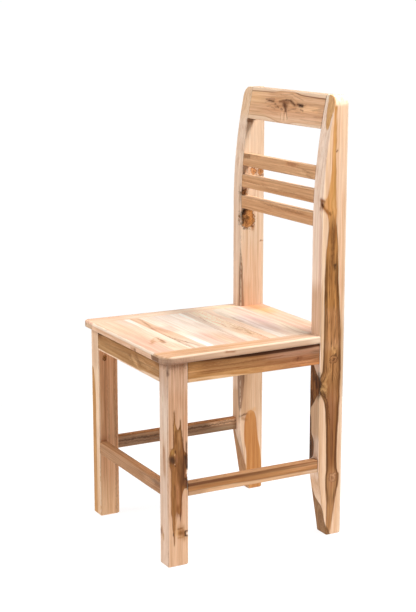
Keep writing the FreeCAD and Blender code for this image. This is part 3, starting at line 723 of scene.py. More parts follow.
def fy(v):
    """y measured back from the legs' front plane, to the row frame."""
    return v - 205.5


# ------------------------------------------------------------ near rear post
FRONT_LINE = [(0, 180), (147, 156), (690, 156), (780, 159.5), (870, 170), (953, 185.7)]


def near_post():
    side = [  # z, heartwood's front and rear limits on the outer face
        (0, 390, 391), (20, 386, 398), (60, 386, 403), (80, 385, 406), (100, 383, 410),
        (120, 381, 414), (132, 381, 415), (142, 382, 412), (160, 383, 408), (200, 382, 408),
        (240, 381, 409), (260, 380, 411), (290, 377, 412), (304, 374, 413), (320, 366, 413),
        (338, 357, 413), (352, 359, 414), (366, 367, 414), (380, 370, 415), (420, 371, 414),
        (480, 371.5, 411), (540, 371.5, 406), (600, 372, 403), (660, 377, 400), (690, 378, 397),
        (706, 375, 397), (718, 370, 397), (728, 364.5, 396), (738, 370, 395), (760, 378, 395),
        (820, 384, 394), (860, 385, 394), (953, 387, 393)]
    w = Wood("wood_near_post", "z", 5, 0.0, 176.0, 0.35)
    # heart line and half width from the limits
    c = w.curve(w.s, [(z, fy((a + b) / 2.0)) for z, a, b in side])
    h = w.curve(w.s, [(z, (b - a) / 2.0) for z, a, b in side])
    dq = w.q - 176.0
    dp = w.p - c
    d = w.sqrt(dp * dp + dq * dq)
    R = w.sqrt(h * h + 144.0)
    ragged = (w.noise(w.s * (1 / 34.0), w.p * 0.5, 5.0, 2.0) - 0.5) * 2.4
    sd = R - d + ragged                            # depth inside the heartwood
    w.rho = d
    w.bands = w.noise(d * (1 / 3.4), w.s * (1 / 260.0), 1.3, 2.0, 0.62)
    w.streak = w.noise(d * (1 / 1.5), w.s * (1 / 110.0) + 4.0, 2.0, 3.0, 0.66)
    line = w.curve(w.Z, FRONT_LINE)
    front = w.step(w.Y - line, 4.0, 1.0)
    # the stripe ends below the round shoulder and keeps off the front face there
    inside = w.step(sd, -0.7, 0.7) * (1.0 - w.step(w.s, 929, 937) * (1.0 - front)) \
        * (1.0 - front * w.max(w.window(w.s, 705, 765, 12), w.window(w.s, 296, 382, 14)))
    sap = w.sap(lin((234, 196, 160)), lin((240, 208, 178)), lin((218, 174, 138)))
    # the front face is pinker than the side
    sap = w.mix(front * 0.75, sap, lin((250, 226, 206)))
    blush = w.window(w.X, 179.0, 184.5, 2.5) * w.window(w.s, 560, 715, 30)
    sap = w.mix(front * blush * 0.6, sap, lin((222, 178, 152)))
    ash = w.noise(w.X * 0.16, w.Y * 0.1, w.Z * (1 / 60.0), 2.0)
    sap = w.tint(sap, front * w.step(w.s, 660, 740) * w.step(ash, 0.50, 0.66) * 0.4, (0.93, 0.88, 0.84))
    up = w.step(w.s, 668, 714)
    low = w.heart(lin((184, 130, 78)), lin((150, 100, 56)), lin((94, 60, 34)), 0.02)
    high = w.heart(lin((222, 170, 110)), lin((206, 150, 88)), lin((176, 122, 66)), -0.05)
    high = w.mix(w.step(dp, -1.0, 4.5) * w.step(w.s, 700, 780) * 0.7, high, lin((180, 130, 66)))
    heart = w.mix(up, low, high)
    # dark bands along the limits, broken up by the grain
    gate = w.step(w.streak, 0.28, 0.58) * 0.75 + 0.25
    mid = w.window(w.s, 380, 590, 45)
    heart = w.mix(w.step(sd, 7.0, 1.5) * mid * gate, heart, lin((96, 62, 34)))
    heart = w.tint(heart, w.window(w.s, 450, 640, 60), (1.35, 1.45, 1.4))
    heart = w.tint(heart, w.step(w.s, 175, 120), (1.58, 1.92, 2.5))
    heart = w.tint(heart, w.window(w.s, 430, 495, 25), (1.10, 1.16, 1.5))
    heart = w.tint(heart, w.window(w.s, 308, 352, 20), (1.10, 1.18, 1.3))
    heart = w.tint(heart, w.window(w.s, 375, 425, 25), (1.12, 1.18, 1.32))
    heart = w.tint(heart, w.window(w.s, 600, 640, 30), (1.14, 1.18, 1.2))
    lowrim = w.step(sd, 5.0, 1.0) * w.window(w.s, 90, 345, 30) * gate
    heart = w.mix(lowrim * 0.95, heart, lin((84, 52, 30)))
    thread = w.step(w.noise(w.p * 0.85, 3.0, w.s * (1 / 130.0), 2.0), 0.52, 0.62)
    heart = w.tint(heart, thread * w.step(w.s, 690, 640) * 0.8, (0.72, 0.64, 0.58))
    smoke = w.noise(w.p * 0.24, 2.0, w.s * (1 / 55.0), 3.0, 0.6)
    heart = w.mix(w.step(smoke, 0.50, 0.66) * w.window(w.s, 350, 680, 50) * 0.75, heart, lin((84, 54, 30)))
    gleam = w.step(w.noise(w.p * 0.3, 7.0, w.s * (1 / 70.0), 2.0), 0.54, 0.70)
    heart = w.mix(gleam * w.step(sd, 6.0, 12.0) * w.step(w.s, 700, 600) * 0.55, heart, lin((204, 154, 98)))
    rosy = w.window(w.s, 120, 300, 50)
    heart = w.mix(rosy * w.step(sd, 4.0, 9.0) * 0.45, heart, lin((176, 120, 84)))
    heart = w.mix(w.seg((188, fy(389), 610), (188, fy(391), 668), (10, 3.4, 16)) * 0.75, heart, lin((112, 72, 40)))
    heart = w.mix(w.seg((188, fy(395), 594), (188, fy(395), 600), (12, 2.6, 5.0)) * 0.9, heart, DARK)
    heart = w.mix(w.seg((188, fy(392), 424), (188, fy(398), 411), (12, 3.0, 4.0)) * 0.75, heart, lin((214, 166, 110)))
    heart = w.mix(w.seg((188, fy(404), 424), (188, fy(398), 411), (12, 2.6, 4.0)) * 0.65, heart, lin((206, 156, 100)))
    heart = w.mix(w.seg((188, fy(398), 419), (188, fy(398), 420), (12, 2.6, 2.6)) * 0.6, heart, lin((122, 78, 44)))
    heart = w.knot(heart, fy(397), 396, 9.0, 9.0, lin((184, 132, 84)), lin((142, 94, 58)), lin((92, 58, 36)), 0.85, 188.0)
    heart = w.knot(heart, fy(400), 131, 9.5, 9.5, lin((196, 150, 110)), lin((174, 128, 90)), lin((132, 90, 60)), 0.7, 188.0)
    heart = w.mix(w.seg((188, fy(396), 138), (188, fy(405), 134), (12, 2.4, 2.2)) * 0.35, heart, lin((200, 154, 112)))
    col = w.mix(inside, sap, heart)
    rim = w.step(w.abs(sd), 1.5, 0.2) * w.step(w.s, 10, 60) * (w.step(w.s, 720, 620) * 0.55 + 0.1) * (1.0 - front)
    col = w.mix(rim, col, w.mix(up, lin((138, 92, 52)), lin((186, 126, 66))))
    # the golden burl under the seat's line, with its fine dark veins
    burl = w.seg((188, fy(366), 343), (188, fy(374), 322), (10, 9.0, 11.0))
    vein = w.noise(w.p * 0.34, w.q * 0.3, w.s * 0.13, 4.0, 0.68, 1.6)
    col = w.mix(burl * inside * 0.6, col, lin((200, 148, 90)))
    col = w.mix(burl * inside * w.step(w.abs(vein - 0.5), 0.07, 0.01) * 0.95, col, lin((70, 44, 26)))
    for a, b, r_, k, cc in (
            ((188, fy(361), 334), (188, fy(363.5), 345), (9, 2.6, 5.0), 1.0, lin((40, 26, 18))),
            ((188, fy(363), 342), (188, fy(372), 326), (7, 1.7, 3.0), 0.85, lin((56, 36, 24))),
            ((188, fy(370), 332), (188, fy(384), 300), (7, 1.6, 8.0), 0.7, lin((92, 58, 34))),
            ((188, fy(376), 320), (188, fy(390), 262), (7, 1.4, 10.0), 0.65, lin((100, 62, 38))),
            ((188, fy(364), 344), (188, fy(377), 358), (7, 1.5, 2.4), 0.7, lin((92, 58, 34))),
            ((188, fy(366), 337), (188, fy(380), 340), (7, 1.4, 1.6), 0.6, lin((92, 58, 34))),
            ((188, fy(378), 352), (188, fy(390), 372), (7, 2.6, 7.0), 0.45, lin((212, 162, 104))),
            ((183, fy(361), 322), (185, fy(361), 360), (5.5, 5, 11.0), 0.75, lin((96, 62, 38))),
            ((164, fy(361), 322), (170, fy(361), 350), (4.0, 5, 13.0), 0.35, lin((88, 58, 36))),
            ((187, fy(361), 328), (187.6, fy(361.6), 352), (3.0, 3.4, 13.0), 1.0, lin((34, 22, 15))),
            ((188, fy(363), 352), (188, fy(368), 345), (5, 2.2, 3.0), 0.85, lin((60, 38, 24))),
            ((188, fy(368), 334), (188, fy(376), 330), (6, 3.2, 4.0), 0.7, lin((220, 172, 112))),
            ((188, fy(374), 345), (188, fy(380), 338), (6, 2.6, 3.0), 0.6, lin((214, 164, 106))),
            ((188, fy(365), 326), (188, fy(374), 316), (6, 1.7, 3.0), 0.85, lin((64, 40, 24))),
            ((188, fy(395), 839), (188, fy(397), 841), (6, 2.2, 2.6), 0.85, lin((120, 74, 40))),
            ((184, fy(376), 900), (182, fy(372), 938), (7, 9.0, 20.0), 0.0, BROWN)):
        if k > 0:
            col = w.mix(w.seg(a, b, r_) * k, col, cc)
    # a second, darker heart close to the inner face, seen low on the front
    R2 = w.curve(w.s, [(0, 41), (30, 39.8), (60, 38.5), (74, 28), (88, 17), (110, 9), (128, 2), (165, 4), (180, 17), (205, 20), (232, 10),
                       (262, 8), (276, 5), (292, 12), (306, 22), (320, 31), (334, 37.4), (350, 37.4), (364, 29),
                       (378, 19), (394, 6), (420, -4), (953, -8)])
    yc = w.curve(w.s, [(0, 178), (147, 154), (953, 154)])
    e1 = w.q - 150.0
    e2 = (w.p - yc) * 1.4
    sd2 = R2 - w.sqrt(e1 * e1 + e2 * e2) + ragged * 1.6
    in2 = w.step(sd2, -0.8, 1.0) * w.step(w.s, 480, 400)
    tone2 = w.heart(lin((168, 120, 76)), lin((132, 90, 54)), lin((88, 58, 36)), 0.02)
    low2 = w.heart(lin((160, 120, 80)), lin((138, 98, 60)), lin((100, 68, 42)), -0.02)
    tone2 = w.mix(w.step(w.s, 150, 110), tone2, low2)
    col = w.mix(in2, col, tone2)
    col = w.mix(w.step(w.abs(sd2), 1.8, 0.2) * w.step(w.s, 420, 360) * 0.6, col, lin((92, 60, 36)))
    smear = w.seg((158, fy(361), 180), (158, fy(361), 208), (7, 6, 10))
    col = w.mix(smear * 0.75, col, lin((58, 38, 26)))
    for x0, z0, x1, z1, rx, rz, k, cc in (
            (156, 356, 160, 330, 2.6, 6.0, 0.75, (206, 156, 106)), (163, 376, 167, 352, 2.0, 7.0, 0.75, (58, 36, 22)),
            (169, 342, 172, 318, 2.8, 7.0, 0.65, (196, 144, 92)), (175, 356, 179, 338, 2.6, 6.0, 0.8, (50, 30, 18)),
            (160, 322, 164, 300, 1.8, 6.0, 0.75, (58, 36, 22)), (180, 330, 184, 322, 2.4, 3.8, 0.6, (180, 126, 78))):
        col = w.mix(w.seg((x0, fy(361), z0), (x1, fy(361), z1), (rx, 6, rz), w.V) * front * k, col, lin(cc))
    # the leaf of heart at the top of the front face
    leaf = front * w.step(w.s, 866, 876) * inside
    shade = w.mix(w.step(w.s, 890, 948), lin((214, 164, 106)), lin((228, 182, 130)))
    col = w.mix(leaf * 0.85, col, shade)
    col = w.mix(leaf * w.seg((180, fy(390), 948), (184, fy(386), 938), (2.4, 12.0, 4.0), w.V) * 0.6, col, lin((176, 120, 76)))
    col = w.mix(front * w.step(w.abs(sd), 1.6, 0.2) * w.step(w.X, 176, 172) * w.step(w.s, 870, 884) * 0.45, col, lin((184, 134, 86)))
    # shaded end of the round shoulder
    col = w.mix(w.step(w.s, 929, 937) * (1.0 - front) * 0.6, col, lin((252, 234, 206)))
    # the front face is tanner below the slats, and the low part browner
    col = w.tint(col, front * (1.0 - inside) * w.window(w.s, 440, 535, 40), (0.76, 0.66, 0.57))
    col = w.tint(col, front * w.window(w.s, 235, 345, 20), (0.88, 0.78, 0.63))
    rearward = w.step(w.Y, fy(400), fy(414)) * (1.0 - inside)
    col = w.tint(col, rearward * w.window(w.s, 350, 450, 50), (0.77, 0.70, 0.58))
    col = w.tint(col, rearward * w.window(w.s, 560, 740, 40), (0.98, 0.93, 0.88))
    # cream along the corner beside the stripe, and at the round shoulder
    cream = w.step(w.Y - line, 12.0, 3.0) * (1.0 - front) * (1.0 - inside)
    col = w.mix(cream * w.step(w.s, 300, 600) * 0.55, col, lin((250, 222, 186)))
    col = w.tint(col, cream * w.window(w.s, 110, 540, 40), (0.87, 0.81, 0.74))
    col = w.mix(w.step(w.s, 925, 948) * (1.0 - inside) * 0.6, col, lin((250, 232, 204)))
    # the knot on the front corner where the stripe bulges
    for x0, y0, z0, x1, y1, z1, r_, k, cc in (
            (183, 361, 737, 187, 362, 723, (4.6, 5.0, 7.0), 0.8, (206, 154, 114)),
            (179, 361, 724, 179, 361, 716, (2.6, 4.0, 4.0), 0.5, (214, 166, 132)),
            (186, 362, 728, 188, 372, 716, (6, 4.0, 5.0), 0.5, (196, 142, 92)),
            (188, 370, 737, 188, 374, 720, (8, 3.6, 6.0), 0.6, (226, 176, 124)),
            (181, 361, 737.5, 188, 361.5, 737, (3.6, 4.4, 4.4), 0.95, (150, 98, 66)),
            (188, 362, 737, 188, 366.6, 736, (7, 2.4, 3.8), 0.9, (146, 96, 62)),
            (183.4, 361.5, 731, 187, 361.5, 729, (3.6, 4.0, 4.4), 0.92, (132, 84, 52)),
            (186.8, 361.6, 730, 188, 364, 724.5, (3.6, 2.8, 4.0), 1.0, (88, 50, 22)),
            (179.2, 361, 722, 179.2, 361, 719, (2.2, 3.4, 3.0), 0.85, (136, 94, 74)),
            (188, 366.4, 722, 188, 374, 713, (7, 2.4, 3.2), 0.9, (160, 102, 54)),
            (188, 374, 716, 188, 377, 710, (7, 3.0, 3.6), 0.75, (164, 108, 60)),
            (188, 380.5, 711, 188, 381.4, 708, (7, 2.6, 3.0), 0.9, (130, 80, 40)),
            (188, 387, 713, 188, 387.4, 710, (7, 1.5, 2.2), 0.55, (156, 108, 60)),
            (181, 361, 712, 187.5, 362.5, 706, (2.2, 3.0, 6.0), 0.6, (252, 222, 188)),
            (180, 361, 716, 180, 361, 704, (1.1, 3.0, 4.0), 0.4, (190, 160, 126))):
        col = w.mix(w.seg((x0, fy(y0), z0), (x1, fy(y1), z1), r_, w.V) * k, col, lin(cc))
    col = w.grainy(col)
    # painted highlight along the rear of the post, where the white backdrop rims it
    rear = w.step(w.Y, 209.0, 215.0)
    col = w.mix(rear * 0.35, col, lin((250, 230, 204)))
    return w.done(col)


# ------------------------------------------------------------- near front leg
def near_leg():
    w = Wood("wood_near_leg", "z", 3, 0.0, 178.0, 0.5)
    # limits of the heartwood on the outer face: a broad field with the main
    # tongue at each end, and a second, shorter tongue behind it
    fa = w.curve(w.s, [(z, fy(y)) for z, y in (
        (0, 17), (44, 15.2), (52, 14.0), (63, 13.2), (72, 12.2), (79, 11.3), (104, 9.6), (122, 7.7), (147, 7.5),
        (178, 7.6), (208, 7.7), (218, 6.0), (224, 4.4), (232, 3.6), (240, 3.6), (247, 5.6), (253, 8.6), (258, 12.4),
        (264, 13.3), (300, 13.3), (309, 13.6), (320, 14.6), (331, 15.8), (338, 18.0), (434, 20.0))])
    fb = w.curve(w.s, [(z, fy(y)) for z, y in (
        (0, 10), (44, 14.2), (52, 15.0), (63, 15.4), (72, 16.2), (90, 18.6), (103, 20.6), (112, 22.6), (116, 26.0),
        (121, 60.0), (287, 60.0), (293, 24.0), (300, 20.8), (309, 17.8), (320, 16.6), (331, 15.6), (338, 14.0), (434, 10.0))])
    sa = w.curve(w.s, [(z, fy(y)) for z, y in (
        (0, 34), (94, 30.0), (101, 28.6), (108, 27.0), (115, 24.6), (120, -20.0), (287, -20.0), (293, 24.5),
        (300, 27.2), (312, 29.8), (320, 33.0), (434, 40.0))])
    sb = w.curve(w.s, [(z, fy(y)) for z, y in (
        (0, 22), (94, 27.0), (101, 29.0), (117, 31.6), (143, 32.7), (151, 33.6), (160, 35.4), (166, 38.0), (171, 52.0),
        (236, 52.0), (241, 44.0), (248, 38.4), (272, 33.6), (293, 31.8), (300, 31.0), (312, 30.0), (320, 27.0), (434, 20.0))])
    x = 188.0 - w.q
    deep = x * x * 0.018
    rag = (w.noise(w.p * 0.5, w.q * 0.2, w.s * (1 / 17.0), 3.0, 0.6) - 0.5) * 3.0
    sd = w.min(w.min(w.pl - fa, sb - w.pl), w.max(fb - w.pl, w.pl - sa)) - deep + rag
    w.bands = w.noise(w.p * (1 / 3.0), w.q * (1 / 5.0), w.s * (1 / 260.0), 2.0, 0.64)
    inside = w.step(sd, -0.9, 1.1)
    sap = w.sap(lin((226, 184, 152)), lin((218, 172, 137)), lin((194, 146, 112)))
    front = w.step(w.Y, fy(4.5), fy(1.2))
    sap = w.mix(front * 0.85, sap, lin((222, 194, 172)))
    sap = w.mix(front * w.step(w.s, 250, 330) * 0.35, sap, lin((228, 204, 186)))
    foot = w.step(w.s, 130, 40)
    sap = w.mix(foot * (1.0 - front) * 0.5, sap, lin((232, 192, 156)))
    head = w.step(w.noise(w.p * 0.8, w.q * 0.8, w.s * (1 / 60.0), 1.0), 0.48, 0.62)
    sap = w.tint(sap, head * w.step(w.s, 350, 420) * 0.5, (0.84, 0.76, 0.74))
    heart = w.heart(lin((190, 140, 90)), lin((166, 114, 68)), lin((122, 80, 44)), 0.04)
    red = w.step(w.noise(w.p * 0.22, 5.0, w.s * (1 / 90.0), 2.0), 0.48, 0.62)
    heart = w.mix(red * w.window(w.s, 110, 235, 30) * 0.55, heart, lin((180, 122, 80)))
    smoke = w.step(w.noise(w.p * 0.30, 9.0, w.s * (1 / 48.0), 3.0, 0.6), 0.50, 0.64)
    heart = w.mix(smoke * 0.6, heart, lin((104, 66, 36)))
    heart = w.tint(heart, w.step(w.p, fy(20), fy(30)) * w.window(w.s, 140, 285, 20) * 0.8, (0.78, 0.70, 0.62))
    thread = w.step(w.noise(w.p * 0.9, 6.0, w.s * (1 / 90.0), 2.0), 0.52, 0.62)
    heart = w.tint(heart, thread * 0.7, (0.76, 0.68, 0.60))
    sap = w.tint(sap, (1.0 - front) * thread * w.step(w.s, 250, 330) * 0.55, (0.82, 0.74, 0.68))
    sap = w.tint(sap, front * w.window(w.s, 245, 350, 20), (1.10, 1.14, 1.16))
    sap = w.tint(sap, front * w.step(w.s, 370, 410), (0.90, 0.83, 0.75))
    sap = w.tint(sap, (1.0 - front) * w.step(w.s, 400, 340), (0.95, 0.94, 0.92))
    sap = w.tint(sap, (1.0 - front) * w.step(w.s, 355, 395), (1.10, 1.22, 1.34))
    fine = w.step(w.noise(w.p * 1.7, 2.0, w.s * (1 / 160.0), 2.0), 0.54, 0.62)
    sap = w.tint(sap, (1.0 - front) * fine * w.step(w.s, 300, 370) * 0.6, (0.78, 0.66, 0.58))
    heart = w.tint(heart, w.window(w.s, 120, 275, 25), (0.94, 0.90, 0.84))
    col = w.mix(inside, sap, heart)
    broken = w.step(w.noise(w.s * (1 / 22.0), w.p * 0.1, 7.0), 0.35, 0.6)
    rim = w.step(w.abs(sd - 1.0), 2.0, 0.2) * (broken * 0.7 + 0.3)
    col = w.mix(rim * 0.55, col, lin((134, 90, 52)))
    col = w.side_marks(col, 188.0, (
        # the two tongues at the top
        (15.7, 330, 16.0, 309, 1.9, 5.0, 0.85, (132, 88, 48)), (17.0, 303, 17.6, 290, 2.6, 5.0, 0.6, (184, 136, 82)),
        (13.7, 304, 13.5, 264, 1.1, 6.0, 0.7, (130, 86, 50)), (18.7, 290, 19.8, 268, 1.5, 4.0, 0.85, (120, 76, 40)),
        (17.2, 284, 16.4, 260, 2.0, 6.0, 0.5, (142, 94, 54)), (29.8, 311, 30.0, 296, 1.6, 4.0, 0.9, (124, 82, 44)),
        (25.0, 291, 29.4, 299, 1.7, 3.0, 0.85, (120, 78, 42)), (21.6, 290, 25.0, 288, 1.6, 2.6, 0.6, (130, 86, 48)),
        (31.6, 288, 33.0, 272, 1.8, 5.0, 0.85, (116, 74, 40)), (33.4, 270, 36.8, 240, 2.0, 6.0, 0.85, (112, 70, 38)),
        (26.0, 284, 27.0, 256, 2.8, 8.0, 0.5, (204, 152, 100)), (24.0, 262, 25.0, 240, 1.5, 6.0, 0.5, (146, 98, 58)),
        (39.5, 318, 39.5, 298, 1.8, 6.0, 0.4, (216, 152, 104)), (43.8, 262, 42.6, 234, 1.5, 5.0, 0.95, (88, 54, 30)),
        # the large knot by the front edge
        (11.0, 250, 11.4, 245, 5.6, 5.6, 0.85, (178, 132, 72)), (6.2, 246, 5.0, 240, 1.3, 4.0, 0.6, (130, 88, 48)),
        (9.0, 255, 14.0, 256, 3.0, 1.3, 0.55, (140, 96, 52)), (17.4, 253, 19.4, 244, 1.4, 3.6, 0.7, (118, 74, 38)),
        (9.0, 233, 13.6, 229, 6.0, 6.0, 0.95, (94, 64, 40)), (5.0, 236, 6.6, 229, 2.0, 4.0, 0.85, (84, 48, 24)),
        (12.0, 234, 12.6, 229, 2.4, 4.0, 0.5, (72, 48, 32)), (20.0, 237, 21.4, 228, 2.2, 5.0, 0.8, (150, 100, 68)),
        (17.5, 249, 17.9, 247, 1.6, 2.0, 0.95, (88, 52, 26)), (16.3, 242.6, 16.0, 242, 1.4, 1.9, 0.45, (232, 188, 144)), (11.0, 236, 13.0, 228, 4.6, 6.0, 0.7, (84, 54, 32)),
        (8.0, 221.5, 15.0, 217, 3.0, 2.6, 0.6, (142, 98, 54)), (16.8, 222, 17.0, 221.6, 1.2, 1.4, 0.6, (224, 186, 156)),
        (17.3, 218.6, 17.6, 218, 1.4, 1.7, 0.9, (84, 50, 30)), (4.2, 221, 8.2, 209, 1.2, 3.0, 0.6, (130, 86, 48)),
        (19.0, 221, 22.0, 208, 1.4, 3.0, 0.55, (124, 78, 42)), (20.0, 210, 15.0, 204, 2.0, 2.0, 0.4, (150, 102, 54)),
        # the broken knot and the chip on the rear corner
        (40.0, 234, 44.6, 213, 4.2, 5.0, 0.97, (76, 48, 30)), (45.2, 212, 45.6, 209, 2.2, 2.8, 0.95, (42, 28, 20)),
        (37.2, 227, 38.0, 214, 2.6, 5.0, 0.6, (104, 68, 42)), (43.0, 226, 44.0, 220, 1.6, 3.0, 0.5, (120, 80, 60)),
        (37.4, 206, 37.0, 186, 2.2, 6.0, 0.75, (96, 60, 36)), (40.4, 200, 40.2, 192, 1.5, 4.0, 0.7, (156, 106, 72)),
        (45.8, 198, 45.8, 190, 1.4, 3.4, 0.95, (46, 30, 20)), (40.5, 188, 43.4, 184, 2.0, 2.6, 0.95, (54, 34, 22)),
        (44.0, 178, 45.0, 170, 2.6, 4.6, 0.97, (54, 32, 22)), (41.2, 179, 41.8, 175, 2.0, 2.6, 0.8, (122, 76, 54)),
        (45.4, 168, 45.6, 165, 1.4, 2.4, 0.9, (60, 38, 26)), (39.6, 163, 41.6, 158, 2.2, 3.4, 0.5, (222, 184, 138)),
        (30.0, 224, 30.6, 186, 5.4, 12.0, 0.6, (92, 56, 30)), (35.0, 214, 35.4, 180, 3.2, 10.0, 0.5, (84, 50, 28)),
        (26.0, 262, 27.0, 236, 3.0, 8.0, 0.4, (110, 70, 40)),
        # columns of the lower field
        (16.5, 110, 15.2, 84, 2.4, 8.0, 0.6, (146, 98, 54)), (25.0, 146, 25.0, 120, 2.6, 8.0, 0.35, (140, 92, 52)),
        (17.1, 173, 17.1, 152, 1.2, 4.0, 0.8, (122, 78, 42)), (31.2, 163, 31.0, 132, 1.4, 6.0, 0.7, (128, 84, 48)),
        (28.9, 214, 28.0, 190, 2.2, 6.0, 0.5, (142, 94, 54)), (23.0, 170, 23.4, 140, 3.0, 8.0, 0.6, (194, 136, 94)),
        (11.0, 200, 11.0, 122, 2.8, 12.0, 0.5, (152, 106, 58)), (13.4, 147, 15.0, 106, 1.8, 6.0, 0.75, (136, 90, 46)),
        (15.0, 104, 14.6, 76, 1.5, 5.0, 0.85, (134, 86, 44)), (24.0, 127, 23.0, 113, 1.7, 5.0, 0.85, (142, 88, 46)),
        (28.9, 113, 28.8, 101, 1.2, 4.0, 0.85, (126, 90, 66)), (20.6, 112, 20.4, 104, 2.2, 5.0, 0.4, (222, 186, 160)),
        (14.8, 66, 14.6, 50, 1.5, 4.0, 0.85, (138, 94, 48)), (12.6, 73, 12.5, 70, 1.3, 2.2, 0.95, (84, 52, 28)),
        (18.6, 102, 17.8, 76, 2.6, 8.0, 0.6, (214, 162, 114)),
        # small knot by the foot, broken out at the corner
        (27.0, 80, 36.0, 64, 8.0, 9.0, 0.5, (176, 126, 80)), (36.0, 84, 38.0, 58, 3.0, 6.0, 0.5, (170, 120, 78)),
        (27.0, 73, 33.0, 71, 7.4, 7.0, 0.9, (190, 138, 84)), (24.6, 81, 32.0, 82, 3.4, 2.0, 0.85, (142, 98, 56)),
        (28.0, 72, 39.0, 70, 4.0, 4.2, 0.85, (136, 90, 52)),
        (25.0, 62, 33.0, 62, 3.0, 2.0, 0.7, (180, 132, 76)), (34.6, 76, 36.4, 66, 2.4, 4.0, 0.8, (156, 104, 66)),
        (21.0, 77, 21.0, 67, 1.7, 4.0, 0.55, (224, 174, 120)), (28.0, 76, 27.0, 68, 1.4, 3.0, 0.4, (176, 122, 66)),
        (40.0, 74.2, 47.4, 73.8, 1.6, 1.6, 0.97, (72, 44, 22)), (39.4, 72, 39.8, 66, 1.8, 2.6, 0.97, (72, 44, 22)),
        (40.2, 64.6, 47.4, 62.9, 1.6, 1.6, 0.97, (78, 48, 24)), (44.0, 68.6, 47.6, 68.2, 2.0, 1.7, 0.9, (240, 218, 198)),
        # faint lines in the sapwood
        (22.0, 40, 21.0, 14, 1.2, 6.0, 0.35, (196, 148, 112)), (5.0, 300, 5.4, 120, 0.9, 30.0, 0.3, (206, 158, 124)),
        (36.0, 420, 35.0, 350, 1.1, 12.0, 0.45, (184, 134, 94)), (30.0, 400, 30.4, 350, 0.9, 12.0, 0.35, (196, 146, 108))))
    # marks on the front face
    for x0, z0, x1, z1, rx, rz, k, cc in (
            (171.0, 252, 172.0, 240, 2.6, 6.0, 0.75, (156, 112, 80)), (172.5, 246, 173.0, 206, 5.4, 14.0, 0.8, (184, 136, 98)),
            (171.4, 232, 171.2, 204, 0.9, 8.0, 0.5, (170, 122, 88)), (168.0, 362, 167.9, 354, 1.3, 4.0, 0.7, (196, 170, 120)),
            (167.4, 335, 167.4, 308, 1.2, 9.0, 0.55, (196, 154, 128)), (157.4, 74, 158.4, 69, 3.4, 4.4, 0.9, (132, 98, 76)),
            (160.0, 80, 166.0, 66, 3.6, 4.4, 0.7, (184, 138, 100)), (167.0, 66, 168.0, 58, 2.8, 4.6, 0.8, (184, 140, 90)),
            # the second mark here, a long pale line by the outer corner, is a painted highlight
            (170.6, 82, 172.0, 100, 1.4, 5.0, 0.4, (196, 154, 124)), (186.8, 330, 186.8, 60, 1.0, 30.0, 0.35, (240, 206, 176)),
            (157.0, 225, 157.0, 195, 1.4, 12.0, 0.4, (232, 204, 168))):
        f = w.seg((x0, fy(0), z0), (x1, fy(0), z1), (rx, 6.0, rz), w.V)
        col = w.mix(f * k * front, col, lin(cc))
    # painted shade under the seat's rim, mottled painted shade on the top of the leg, and a dark spot of painted shade
    # at its corner
    top = w.step(w.Z, 417.0, 430.0)
    col = w.tint(col, top * 0.75, (0.76, 0.66, 0.60))
    mottled_shade = w.step(w.noise(w.X * 0.5, w.Y * 0.5, w.Z * 0.22, 3.0), 0.50, 0.62)
    col = w.tint(col, w.step(w.Z, 408.0, 422.0) * mottled_shade * 0.55, (0.66, 0.55, 0.50))
    col = w.mix(w.seg((187, fy(1.0), 419), (187, fy(2.0), 412), (3.0, 3.0, 4.0), w.V) * 0.8, col, lin((112, 76, 62)))
    # bare pale wood in the chip on the rear corner
    chip = w.seg((187.0, fy(45.0), 204), (187.0, fy(44.0), 200), (3.2, 2.2, 3.4), w.P)
    col = w.mix(chip * 0.95, col, lin((250, 226, 202)))
    col = w.grainy(col, 1.15)
    # a thin shaded line runs down the corner
    col = w.tint(col, w.window(w.Y, fy(0.6), fy(1.4), 1.0) * w.step(w.X, 185.0, 187.0) * 0.5, (0.74, 0.68, 0.66))
    col = w.edges(col, w.X, 152.0, 188.0, w.Y, -205.5, -158.5, 0.22)
    return w.done(col)


# ------------------------------------------------------------------ far leg
def far_leg():
    w = Wood("wood_far_leg", "z", 4, fy(-14.0), -176.0, 0.6)
    sap = w.sap(lin((226, 178, 138)), lin((212, 162, 122)), lin((186, 138, 100)))
    face = w.step(w.Y, fy(4.5), fy(1.2))
    sap = w.mix(face * 0.85, sap, lin((230, 196, 164)))
    low = w.step(w.s, 110, 30)
    sap = w.mix(low * (1.0 - face) * 0.45, sap, lin((240, 202, 160)))
    sap = w.tint(sap, face * w.step(w.s, 180, 110), (0.90, 0.84, 0.74))
    sap = w.tint(sap, face * w.window(w.s, 225, 330, 30), (1.16, 1.22, 1.24))
    d1 = w.q + 183.0
    d2 = (w.p - fy(-2.0))
    Rg = w.curve(w.s, [(0, 13), (120, 14), (250, 15), (310, 11), (345, 2), (368, -8), (434, -10)])
    sd = Rg - w.sqrt(d1 * d1 + d2 * d2)
    col = w.mix(w.step(sd, -1.2, 1.4), sap, w.heart(lin((216, 166, 106)), lin((196, 144, 86)), lin((168, 118, 66))))
    col = w.mix(w.step(w.abs(sd), 1.6, 0.2) * 0.35, col, lin((150, 100, 56)))
    for a, b, r_, k, cc in (
            ((-152, fy(40), 0), (-152, fy(40.5), 434), (4, 1.6, 30), 0.45, lin((140, 98, 68))),
            ((-152, fy(24), 180), (-152, fy(22), 300), (4, 2.0, 30), 0.30, lin((150, 106, 72))),
            ((-181, fy(0), 330), (-180, fy(0), 338), (3, 3, 4), 0.7, lin((176, 122, 64))),
            ((-152, fy(30), 60), (-152, fy(31), 190), (4, 4.0, 40), 0.25, lin((226, 182, 142)))):
        col = w.mix(w.seg(a, b, r_) * k, col, cc)
    col = w.knot(col, fy(15), 369, 4.2, 6.0, lin((176, 122, 66)), lin((140, 92, 48)), lin((84, 54, 30)), 0.95, -152.0, 8.0)
    col = w.grainy(col, 1.2)
    col = w.edges(col, w.X, -188.0, -152.0, w.Y, -205.5, -158.5, 0.5)
    return w.done(col)


